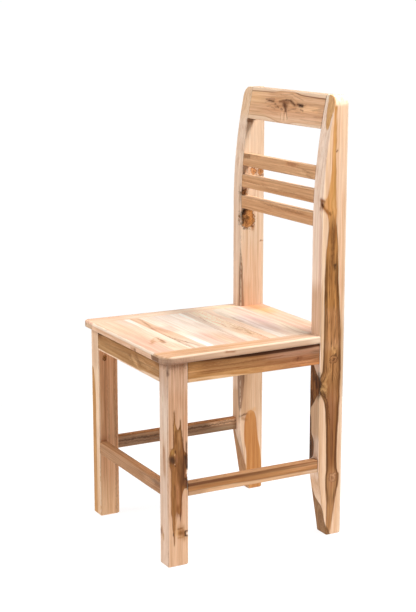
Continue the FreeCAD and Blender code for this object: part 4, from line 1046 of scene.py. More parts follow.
# ------------------------------------------------------------------ far post
def far_post():
    w = Wood("wood_far_post", "z", 6, fy(392.0), -166.0, 0.6)
    sap = w.sap(lin((226, 198, 170)), lin((220, 188, 158)), lin((202, 164, 132)))
    line = w.curve(w.Z, FRONT_LINE)
    sap = w.tint(sap, w.step(w.s, 560, 620), (1.0, 1.07, 1.12))
    sap = w.tint(sap, w.window(w.s, 200, 490, 30) * w.step(w.Y, fy(400), fy(385)), (0.92, 0.86, 0.80))
    sap = w.tint(sap, w.window(w.s, 200, 300, 30), (0.88, 0.87, 0.84))
    front = w.step(w.Y - line, 4.0, 1.0)
    sap = w.mix(front * 0.8, sap, lin((240, 210, 184)))
    sap = w.mix(front * w.step(w.s, 870, 900) * 0.6, sap, lin((236, 196, 152)))
    sap = w.tint(sap, front * w.window(w.s, 180, 240, 20), (0.80, 0.72, 0.62))
    ash = w.noise(w.X * 0.14, 4.0, w.Z * (1 / 70.0), 2.0)
    sap = w.tint(sap, front * w.step(ash, 0.46, 0.66) * 0.5, (0.88, 0.82, 0.78))
    # grey-brown heart at the front inner corner
    Rd = w.curve(w.s, [(0, -6), (150, -3), (190, 1), (210, 7), (250, 11), (290, 13), (330, 13), (400, 12.5), (450, 11),
                       (480, 9.5), (530, 7.5), (560, 5), (585, 2), (605, -3), (640, -8), (953, -9)])
    d1 = w.q + 152.5
    d2 = (w.p - fy(360.5)) * 1.0
    sd = Rd - w.sqrt(d1 * d1 + d2 * d2) + (w.noise(w.s * (1 / 30.0), w.p * 0.4, 2.0, 2.0) - 0.5) * 3.0
    tone = w.heart(lin((166, 132, 106)), lin((136, 104, 80)), lin((94, 70, 54)), 0.0)
    col = w.mix(w.step(sd, -1.4, 2.2), sap, tone)
    # orange heart low on the inner face
    Ro = w.curve(w.s, [(0, 18), (60, 20.5), (120, 18.5), (160, 16.5), (182, 13), (194, 6), (204, -6), (953, -8)])
    yo = w.curve(w.s, [(0, fy(402)), (90, fy(398.6)), (180, fy(390)), (953, fy(390))])
    d3 = w.p - yo
    d4 = (w.q + 152.0) * 0.9
    so = Ro - w.sqrt(d3 * d3 + d4 * d4)
    org = w.heart(lin((198, 144, 88)), lin((184, 126, 72)), lin((154, 100, 56)), -0.02)
    col = w.mix(w.step(so, -0.8, 1.2), col, org)
    col = w.mix(w.step(w.abs(so), 1.6, 0.3) * w.step(w.s, 120, 190) * 0.3, col, lin((150, 102, 62)))
    toe = w.step(w.Y + w.Z * (24.0 / 147.0), 184.0, 181.0) * w.step(w.Z, 156.0, 146.0)
    wedge = w.heart(lin((182, 136, 90)), lin((168, 118, 72)), lin((140, 94, 56)), 0.0)
    col = w.mix(toe * w.step(w.X + w.s * 0.32, -129.0, -133.0) * 0.95, col, wedge)
    for a, b, r_, k, cc in (
            ((-152, fy(363), 184), (-152, fy(380), 189), (5, 3.4, 2.8), 0.85, lin((104, 68, 40))),
            ((-152, fy(368), 178), (-152, fy(378), 174), (5, 3.4, 3.4), 0.6, lin((150, 104, 64))),
            ((-152, fy(384), 192), (-152, fy(400), 196), (5, 6.0, 5.0), 0.5, lin((206, 156, 104))),
            ((-152, fy(362), 600), (-152, fy(362.5), 470), (3, 1.2, 20), 0.5, lin((104, 80, 62))),
            ((-152, fy(405), 750), (-152, fy(417), 753), (8, 5.0, 2.4), 0.85, lin((128, 80, 44))),
            ((-152, fy(401), 754), (-152, fy(403), 774), (8, 1.8, 7.0), 0.6, lin((140, 88, 50))),
            ((-152, fy(382), 752), (-152, fy(383), 770), (8, 3.4, 6.0), 0.5, lin((190, 130, 80))),
            # the next three strokes are painted shade right under the crest on the inner face
            ((-152, fy(378), 881.5), (-152, fy(398), 880.5), (3, 9.0, 1.5), 0.9, lin((60, 40, 28))),
            ((-152, fy(374), 878), (-152, fy(386), 876), (3, 5.0, 4.0), 0.85, lin((134, 92, 62))),
            ((-152, fy(372), 876), (-152, fy(372), 862), (3, 3.4, 7.0), 0.75, lin((150, 106, 76))),
            ((-152, fy(377), 704), (-152, fy(380), 724), (8, 1.8, 8.0), 0.6, lin((120, 78, 44))),
            ((-152, fy(362), 700), (-152, fy(364), 726), (8, 2.2, 10.0), 0.6, lin((84, 54, 32))),
            # the tail of the large knot
            ((-152, fy(386), 650), (-152, fy(392), 634), (8, 4.4, 7.0), 0.85, lin((164, 106, 54))),
            ((-152, fy(414), 599), (-152, fy(419), 600), (6, 3.6, 1.8), 0.7, lin((176, 122, 78))),
            ((-152, fy(414), 601), (-152, fy(415), 601), (6, 1.6, 1.4), 0.85, UMBER),
            ((-176, fy(362), 60), (-170, fy(358), 120), (6, 5, 24), 0.3, lin((214, 164, 112)))):
        col = w.mix(w.seg(a, b, r_) * k, col, cc)
    gold, brown, dark = lin((206, 148, 88)), lin((152, 98, 50)), lin((72, 44, 24))
    col = w.knot(col, fy(394), 764, 7.0, 7.4, lin((214, 158, 104)), lin((176, 116, 66)), lin((118, 74, 42)), 0.95, -152.0)
    col = w.knot(col, fy(412), 762, 6.4, 7.0, lin((204, 148, 92)), lin((168, 108, 60)), lin((112, 70, 38)), 0.95, -152.0)
    col = w.knot(col, fy(370), 714, 7.0, 9.0, lin((188, 136, 84)), lin((138, 90, 50)), dark, 0.9, -152.0)
    col = w.knot(col, fy(380), 655, 17.0, 22.0, gold, brown, dark, 0.95, -152.0)
    for a, b, r_, k, cc in (
            ((-152, fy(363), 664), (-152, fy(369), 673), (8, 4.0, 5.0), 0.95, lin((52, 32, 20))),
            ((-152, fy(366), 646), (-152, fy(370), 655), (8, 3.4, 4.0), 0.85, lin((60, 38, 22))),
            ((-152, fy(374), 640), (-152, fy(377), 672), (8, 2.4, 9.0), 0.55, lin((120, 78, 40))),
            ((-152, fy(386), 650), (-152, fy(388), 668), (8, 4.6, 8.0), 0.6, lin((200, 134, 70))),
            ((-152, fy(392), 644), (-152, fy(394), 664), (8, 1.6, 8.0), 0.55, lin((110, 68, 36)))):
        col = w.mix(w.seg(a, b, r_) * k, col, cc)
    col = w.grainy(col, 1.05)
    col = w.edges(col, w.X, -188.0, -152.0, w.Y - line, 0.0, 900.0, 0.5)
    return w.done(col)


# --------------------------------------------------------------------- crest
def crest():
    w = Wood("wood_crest", "x", 7, 190.0, 918.0, 0.3)
    # v runs up the leaning face from its middle
    v = (w.q - 918.2) * 1.0187
    top = w.curve(w.s, [(-152, 28.2), (-100, 29), (-60, 29.6), (-38, 31.6), (-20, 35.8), (2, 38.4), (22, 35.6),
                        (42, 31.4), (63, 28.8), (100, 27.6), (152, 26.6)])
    low = w.curve(w.s, [(-152, -27.4), (-90, -26.4), (-62, -28.4), (-40, -32), (-15, -35.4), (8, -37), (30, -34.6),
                        (58, -31.4), (100, -31), (152, -30.2)])
    sdt = top - v
    sdl = v - low
    sd = w.min(sdt, sdl)
    # rings follow the two limits and part round the knot
    t = sdt / (top - low)
    dent = w.seg((-2, 178, 922), (0, 178, 921), (44, 60, 16), w.vec(w.s, w.p, w.q))
    vv = t * 9.0 + dent * 1.3
    w.bands = w.noise(vv, w.s * (1 / 200.0), w.Y * 0.05, 2.0, 0.6)
    w.streak = w.noise(vv * 3.2, w.s * (1 / 70.0), w.Y * 0.1, 3.0, 0.66)
    sap = w.sap(lin((246, 214, 182)), lin((238, 202, 168)))
    heart = w.heart(lin((236, 190, 150)), lin((220, 170, 128)), lin((188, 136, 98)), -0.04)
    end = w.step(w.s, -60, -130)
    heart = w.mix(end * w.step(v, -6.0, 8.0) * 0.65, heart, lin((248, 202, 152)))
    rosy = w.window(w.s, -60, 152, 50) * w.step(v, 0.0, -14.0)
    heart = w.mix(rosy * 0.35, heart, lin((228, 174, 138)))
    heart = w.tint(heart, w.step(v, -16.0, -26.0), (1.04, 1.12, 1.16))
    heart = w.tint(heart, w.window(w.s, 70, 122, 18) * w.window(v, -4.0, 5.0, 5.0), (1.18, 1.20, 1.14))
    col = w.mix(w.step(sd, -0.8, 1.0), sap, heart)
    left_line = w.step(w.abs(sdt - 1.2), 2.4, 0.4) * w.step(w.s, -28, -70)
    right_line = w.step(w.abs(sdt - 1.1), 2.2, 0.4) * w.step(w.s, 26, 44)
    col = w.mix(left_line * 0.65, col, lin((150, 98, 66)))
    col = w.mix(right_line * 0.85, col, lin((140, 90, 58)))
    low_line = w.step(w.abs(sdl - 0.9), 1.8, 0.2)
    col = w.mix(low_line * 0.35, col, lin((186, 134, 96)))
    nib = w.step(w.noise(w.s * 0.16, v * 0.7, 3.0, 3.0, 0.7), 0.40, 0.60) * 0.35 + 0.65

    def z(u):
        return 918.2 + u / 1.0187

    def y(u):
        return 178.57 + u * 0.194
    ink = [
        # contour lines above and beside the knot
        (-64, 17, -26, 25, 4.0, 1.2, 0.4, (180, 128, 90)), (-26, 25, 20, 28, 4.0, 1.3, 0.5, (172, 120, 80)),
        (20, 28, 64, 18, 4.0, 1.3, 0.55, (172, 120, 80)), (-40, 17, -8, 21, 4.0, 1.1, 0.35, (180, 128, 90)),
        (-8, 21, 20, 21, 4.0, 1.1, 0.35, (180, 128, 90)), (22, 20, 50, 11, 4.0, 1.1, 0.4, (174, 122, 84)),
        (-70, -12, -30, -18, 4.0, 1.3, 0.4, (186, 134, 96)), (20, -20, 80, -17, 4.0, 1.3, 0.4, (182, 130, 94)),
        # broad brown shade round the knot
        (-30, 4, 6, 7, 10.0, 5.0, 0.45, (180, 124, 82)), (-8, 5, 2, 2, 6.6, 5.6, 0.9, (118, 76, 50)),
        (-14, 12, 16, 11, 10.0, 3.4, 0.6, (156, 104, 66)), (-70, 8, -52, 8, 8.0, 3.4, 0.5, (170, 116, 78)),
        (46, 7, 66, 6, 7.0, 3.8, 0.55, (150, 98, 62)), (22, 12, 36, 6, 5.0, 3.6, 0.5, (150, 98, 62)),
        (-60, 6, -40, 0, 8.0, 4.0, 0.3, (186, 134, 96)), (40, 4, 78, 6, 6.0, 4.4, 0.3, (190, 138, 98)),
        # the knot's dark strokes
        (-84, 11.0, -68, 9.2, 3.0, 1.2, 0.8, (134, 88, 58)), (-72, 9.6, -52, 8.6, 3.0, 1.9, 0.97, (92, 56, 34)), (-84, 12.4, -50, 14, 3.0, 1.3, 0.7, (150, 100, 68)),
        (-86, 4.0, -76, 8.0, 3.0, 1.1, 0.55, (150, 100, 68)), (-45, 3.6, -42, 3.0, 3.0, 2.0, 0.85, (126, 82, 54)),
        (-34, -1.6, -28, -3.0, 3.0, 2.0, 0.9, (124, 80, 54)), (-16, -4.6, -11, -6.0, 2.8, 1.8, 0.85, (124, 80, 54)),
        (-42, -2, -38, -4, 2.4, 1.2, 0.5, (150, 102, 70)), (-8, 7, -3, 1, 4.6, 3.4, 0.85, (112, 70, 46)), (-56, -4, -44, -7, 3.0, 1.4, 0.55, (160, 108, 74)),
        (-76, -3.8, -62, -2.2, 2.6, 1.3, 0.5, (160, 110, 76)), (-20, -6, -12, -8, 2.6, 1.2, 0.5, (150, 102, 70)),
        (-28, 9.4, -1, 14.0, 3.0, 2.1, 0.85, (112, 70, 44)), (-1, 14.4, 17, 14.1, 3.0, 2.3, 0.95, (98, 60, 38)),
        (17, 14.1, 36, 6.4, 2.6, 2.9, 0.97, (90, 54, 34)), (38, 5.0, 42, 3.6, 2.4, 1.6, 0.5, (130, 86, 56)),
        (-24, 9.0, 6, 8.6, 4.0, 2.6, 0.55, (146, 98, 68)),
        (47, 8.2, 70, 6.6, 3.0, 2.4, 0.97, (82, 50, 34)), (55, 6.4, 68, 6.0, 3.4, 3.3, 0.98, (46, 28, 20)),
        (70, 8.0, 80, 9.4, 2.6, 1.2, 0.5, (150, 100, 66)),
        (-4, 3, 4, -9.5, 4.6, 3.2, 1.0, (92, 56, 36)), (3, 1, 5, -7, 6.0, 3.0, 0.6, (140, 92, 62)),
        (15.5, -7.4, 43, -1.0, 3.0, 1.2, 0.7, (142, 92, 62)), (14, -4.0, 34, -1.5, 3.0, 0.9, 0.5, (160, 110, 78)),
        (63, -2.4, 72, -4.6, 2.6, 1.9, 0.85, (136, 88, 58)), (46, -9.0, 62, -8.0, 2.4, 1.4, 0.55, (156, 106, 74)),
        # pale and dark lines that run down from the knot
        (-9, -15.0, -6, -27.0, 1.9, 2.6, 0.85, (250, 214, 178)), (6, -15.5, 10, -28.0, 1.6, 2.6, 0.9, (250, 214, 178)),
        (8.2, -12.7, 15, -24.5, 1.2, 2.4, 0.8, (134, 86, 56)), (0, -13, 2, -27, 1.1, 2.4, 0.6, (156, 106, 72)),
        (-13, -16, -12, -28, 1.0, 2.4, 0.5, (164, 114, 80)),
        (24, -6, 66, -7, 5.0, 2.6, 0.4, (240, 196, 156)),
        # quiet darker streaks toward the right end
        (113, -1, 143, 4.2, 6.0, 1.8, 0.5, (178, 126, 88)), (123, -14, 152, -13.4, 6.0, 1.6, 0.5, (176, 122, 88)),
        (96, 10, 150, 12, 6.0, 1.6, 0.35, (182, 130, 92)), (70, -22, 152, -24, 8.0, 1.6, 0.4, (186, 134, 100)),
        (-150, 4, -96, 3, 8.0, 1.4, 0.3, (206, 156, 112)), (-150, -12, -80, -10, 8.0, 1.4, 0.35, (204, 152, 112)),
    ]
    for x0, v0, x1, v1, rx, rv, k, cc in ink:
        f = w.seg((x0, y(v0), z(v0)), (x1, y(v1), z(v1)), (rx, 14.0, rv), w.V)
        col = w.mix(f * nib * k, col, lin(cc))
    col = w.tint(col, w.seg((-40, y(4), z(4)), (40, y(4), z(4)), (22.0, 30.0, 16.0), w.P) * 0.9, (0.97, 0.92, 0.84))
    col = w.grainy(col, 0.85)
    # painted highlight along the crest's top edge
    painted_edge_light = w.step(w.Z, 949.5, 951.5)
    col = w.mix(painted_edge_light * 0.5, col, lin((252, 232, 206)))
    col = w.tint(col, w.step(w.Z, 952.0, 952.9), (0.70, 0.62, 0.56))
    col = w.joints(col, -152.0, 152.0)
    return w.done(col)


# --------------------------------------------------------------------- slats
def slat(which, seed):
    mids = {"upper": 791.5, "middle": 743.0, "lower": 694.5}
    zc = mids[which]
    w = Wood("wood_slat_" + which, "x", seed, 150.0, zc - 30.0, 0.8)
    base = w.heart(lin((226, 178, 134)), lin((208, 158, 114)), lin((166, 118, 78)), -0.02)
    col = base
    ink = []
    if which == "upper":
        ink = [(42, zc + 10, 68, zc + 9, 12, 5.0, 0.65, lin((166, 108, 72))),
               (36, zc + 6, 38, zc + 13, 3, 4.0, 0.5, lin((206, 140, 82))),
               (-150, zc + 8, -126, zc + 8, 10, 6.0, 0.75, lin((120, 80, 52))),
               (-126, zc + 10, -84, zc + 11, 14, 2.0, 0.45, lin((150, 102, 66))),
               (96, zc - 4, 124, zc - 9, 12, 3.0, 0.55, lin((230, 190, 144))),
               (104, zc + 2, 140, zc - 4, 12, 2.2, 0.55, lin((154, 108, 70))),
               (118, zc - 8, 140, zc - 12, 8, 2.6, 0.55, lin((160, 112, 72))),
               (132, zc - 3, 148, zc - 7, 6, 2.4, 0.5, lin((222, 180, 130))),
               (-20, zc - 12, 60, zc - 13, 30, 1.6, 0.3, lin((168, 122, 82)))]
    elif which == "middle":
        ink = [(-150, zc + 2, 0, zc - 6, 40, 2.2, 0.4, lin((168, 122, 80))),
               (20, zc - 2, 140, zc - 8, 30, 2.6, 0.4, lin((170, 124, 82))),
               (-100, zc - 12, 60, zc - 13, 40, 1.6, 0.3, lin((226, 186, 142)))]
    else:
        ink = [(-40, zc + 8, 100, zc + 6, 34, 2.6, 0.55, lin((150, 102, 64))),
               (-150, zc + 12, -60, zc + 12, 30, 1.8, 0.4, lin((164, 112, 70))),
               (-100, zc - 12, 140, zc - 12, 40, 2.0, 0.4, lin((226, 184, 140))),
               (60, zc + 12, 150, zc + 11, 30, 2.0, 0.3, lin((220, 178, 132)))]
    for x0, z0, x1, z1, rx, rz, k, cc in ink:
        col = w.mix(w.seg((x0, 158, z0), (x1, 158, z1), (rx * 0.5, 9.0, rz)) * k, col, cc)
    col = w.grainy(col, 1.1)
    # painted highlight along the slat's top edge and painted shade along its lower edge
    painted_edge_light = w.step(w.abs(w.Z - zc), 12.6, 14.4)
    col = w.mix(painted_edge_light * w.step(w.Z, zc - 1.0, zc + 1.0) * 0.55, col, lin((246, 214, 176)))
    col = w.tint(col, painted_edge_light * w.step(w.Z, zc + 1.0, zc - 1.0) * 0.6, (0.6, 0.5, 0.42))
    col = w.joints(col, -152.0, 152.0, 0.75)
    return w.done(col)


# ------------------------------------------------------------ side apron (+X)
def near_apron():
    w = Wood("wood_near_apron", "y", 13, 205.0, 398.0, 1.0)
    t = w.step(w.s, fy(150), fy(330))
    a = w.heart(lin((212, 160, 104)), lin((190, 138, 84)), lin((152, 104, 62)), -0.03)
    b = w.heart(lin((196, 136, 94)), lin((170, 114, 74)), lin((130, 84, 54)), 0.0)
    col = w.mix(t, a, b)
    strip = w.step(w.Z - w.curve(w.s, [(fy(47), 396.5), (fy(110), 396), (fy(160), 393), (fy(210), 389), (fy(362), 384)]), 1.6, -1.6)
    col = w.mix(strip * 0.85, col, lin((236, 194, 148)))
    for y0, z0, y1, z1, ry, rz, k, cc in (
            (303, 407, 314, 410, 9, 4.2, 0.65, lin((146, 90, 56))), (306, 409, 308, 409, 3, 1.8, 0.6, lin((98, 60, 40))),
            (290, 403, 330, 400, 18, 1.8, 0.5, lin((212, 152, 104))), (296, 416, 330, 418, 16, 1.8, 0.45, lin((206, 152, 108))),
            (320, 392, 362, 393, 18, 3.2, 0.7, lin((214, 144, 88))), (60, 420, 140, 422, 34, 2.0, 0.4, lin((150, 102, 60))),
            (70, 408, 200, 404, 40, 1.8, 0.35, lin((156, 106, 62))), (150, 416, 300, 420, 50, 2.0, 0.4, lin((132, 88, 58))),
            (120, 402, 260, 398, 40, 2.0, 0.3, lin((218, 168, 112))), (46, 404, 60, 410, 10, 10, 0.3, lin((216, 168, 116)))):
        col = w.mix(w.seg((188, fy(y0), z0), (188, fy(y1), z1), (14.0, ry * 0.6, rz)) * k, col, cc)
    col = w.tint(col, w.window(w.Y, -110.0, 120.0, 30.0) * w.step(w.Z, 399.0, 406.0), (0.78, 0.74, 0.76))
    col = w.mix(w.window(w.Z, 417.0, 428.0, 5.0) * w.step(w.Y, 0.0, 60.0) * 0.6, col, lin((188, 146, 120)))
    # painted shade on the apron beside the rear post
    col = w.tint(col, w.step(w.Y, 122.0, 148.0) * w.window(w.Z, 405.0, 420.0, 5.0), (0.68, 0.70, 0.72))
    col = w.grainy(col, 1.1)
    # painted shadow under the seat's overhang along the apron's top, darker toward the rear
    deep = w.curve(w.s, [(fy(47), 431.5), (fy(110), 430.0), (fy(160), 428.0), (fy(230), 426.5), (fy(290), 427.0), (fy(362), 429.5)])
    under = w.step(w.Z - deep, -2.0, 1.0)
    col = w.tint(col, under * w.step(w.s, fy(60), fy(180), 0.75, 0.96), (0.17, 0.11, 0.07))
    col = w.joints(col, -158.5, 156.0)
    return w.done(col)


def front_apron():
    w = Wood("wood_front_apron", "x", 11, -236.0, 404.0, 0.9)
    col = w.heart(lin((188, 140, 92)), lin((160, 114, 70)), lin((116, 78, 48)), -0.02)
    strip = w.step(w.Z - w.curve(w.s, [(-152, 392.5), (40, 392.5), (80, 395), (152, 397)]), 1.4, -1.4)
    col = w.mix(strip * 0.85, col, lin((226, 186, 150)))
    for x0, z0, x1, z1, rx, rz, k, cc in (
            (26, 414, 44, 404, 9, 4.4, 0.55, lin((206, 158, 108))), (44, 404, 52, 398, 8, 4.0, 0.5, lin((204, 156, 106))),
            (44, 420, 62, 406, 7, 3.0, 0.4, lin((112, 74, 44))), (12, 416, 26, 402, 7, 3.0, 0.35, lin((112, 74, 44))),
            (-150, 402, -60, 400, 40, 2.0, 0.35, lin((196, 148, 98))), (60, 410, 150, 412, 40, 2.4, 0.4, lin((112, 76, 48))),
            (-100, 412, 20, 414, 40, 2.0, 0.35, lin((118, 80, 50))), (-150, 426, -138, 428, 8, 4.0, 0.6, lin((72, 46, 30)))):
        col = w.mix(w.seg((x0, -205, z0), (x1, -205, z1), (rx * 0.6, 12.0, rz)) * k, col, cc)
    col = w.tint(col, w.step(w.Z, 422.0, 412.0), (1.20, 1.30, 1.42))
    col = w.tint(col, w.step(w.Z, 405.0, 396.0) * w.step(w.X, 20.0, -60.0), (1.14, 1.18, 1.22))
    ends = w.max(w.step(w.X, -120.0, -140.0), w.step(w.X, 125.0, 142.0))
    col = w.tint(col, ends * w.step(w.Z, 415.0, 422.0), (0.74, 0.66, 0.60))
    col = w.grainy(col, 1.1)
    # painted shadow under the seat's overhang along the apron's top
    col = w.tint(col, w.step(w.Z, 425.5, 432.0) * 0.7, (0.46, 0.35, 0.26))
    col = w.joints(col, -152.0, 152.0)
    return w.done(col)


def plain(name, long, seed, pc, qc, a, b, c, bias=0.0, ink=(), warp=1.0, ends=None):
    w = Wood(name, long, seed, pc, qc, warp)
    col = w.heart(a, b, c, bias)
    for p0, p1, r_, k, cc in ink:
        col = w.mix(w.seg(p0, p1, r_) * k, col, cc)
    col = w.grainy(col, 1.1)
    if ends:
        col = w.joints(col, ends[0], ends[1])
    return w.done(col)


def near_stretcher():
    w = Wood("wood_near_stretcher", "y", 16, 210.0, 150.0, 0.6)
    cut = w.curve(w.s, [(fy(47), 158.5), (fy(150), 158), (fy(260), 157), (fy(362), 157)])
    t = w.Z - cut + w.wave * 0.5
    sap = w.sap(lin((224, 182, 142)), lin((210, 164, 122)))
    heart = w.heart(lin((196, 144, 94)), lin((170, 118, 72)), lin((120, 78, 48)), 0.0)
    dark = w.step(w.Z, 165.0, 170.5) * w.curve(w.s, [(fy(47), 0.9), (fy(120), 0.75), (fy(220), 0.6), (fy(362), 0.4)])
    heart = w.mix(dark, heart, lin((104, 64, 40)))
    col = w.mix(w.step(t, -1.6, 1.6), sap, heart)
    col = w.mix(w.step(w.abs(t), 1.6, 0.2) * 0.4, col, lin((130, 86, 50)))
    col = w.tint(col, w.step(w.Y, 60.0, 115.0) * w.step(w.Z, 159.0, 166.0), (1.15, 1.22, 1.42))
    col = w.tint(col, w.step(w.Y, 110.0, 140.0) * w.step(w.Z, 160.0, 155.0), (1.02, 1.16, 1.4))
    col = w.tint(col, w.step(w.Y, -105.0, -130.0) * w.step(w.Z, 160.0, 155.0), (0.80, 0.80, 0.80))
    col = w.grainy(col, 1.1)
    # painted highlight along the stretcher's top edge
    painted_edge_light = w.step(w.Z, 174.6, 176.2)
    col = w.mix(painted_edge_light * 0.35, col, lin((226, 180, 132)))
    col = w.joints(col, -158.5, 156.0, 0.8)
    return w.done(col)


def far_stretcher():
    w = Wood("wood_far_stretcher", "y", 17, -140.0, 170.0, 0.9)
    inner = w.heart(lin((184, 150, 118)), lin((158, 124, 96)), lin((114, 88, 68)), 0.0)
    inner = w.mix(w.step(w.Y, 70.0, 100.0) * w.step(w.Z, 163.0, 167.0) * 0.9, inner, lin((226, 184, 146)))
    inner = w.tint(inner, w.step(w.Y, 60.0, 100.0) * w.step(w.Z, 162.0, 158.0), (0.86, 0.92, 0.92))
    top = w.heart(lin((214, 160, 110)), lin((192, 136, 88)), lin((120, 80, 52)), 0.0)
    col = w.mix(w.step(w.Z, 174.4, 176.0), inner, top)
    for a, b, r_, k, cc in (
            ((-170, fy(40), 164), (-170, fy(362), 169), (6, 30, 1.9), 0.7, lin((72, 50, 36))),
            ((-170, fy(40), 157), (-170, fy(250), 160), (6, 30, 1.5), 0.5, lin((90, 64, 46))),
            ((-170, fy(40), 172), (-170, fy(200), 172), (6, 30, 1.6), 0.5, lin((196, 150, 108))),
            ((-174, fy(306), 176), (-174, fy(320), 176), (2.2, 9, 5), 0.8, lin((110, 68, 42))),
            ((-178, fy(328), 176), (-178, fy(344), 176), (2.0, 8, 5), 0.75, lin((110, 68, 42))),
            ((-170, fy(318), 173), (-170, fy(350), 172.5), (5, 10, 1.3), 0.6, lin((92, 64, 48)))):
        col = w.mix(w.seg(a, b, r_) * k, col, cc)
    col = w.grainy(col, 1.2)
    col = w.joints(col, -158.5, 156.0)
    return w.done(col)


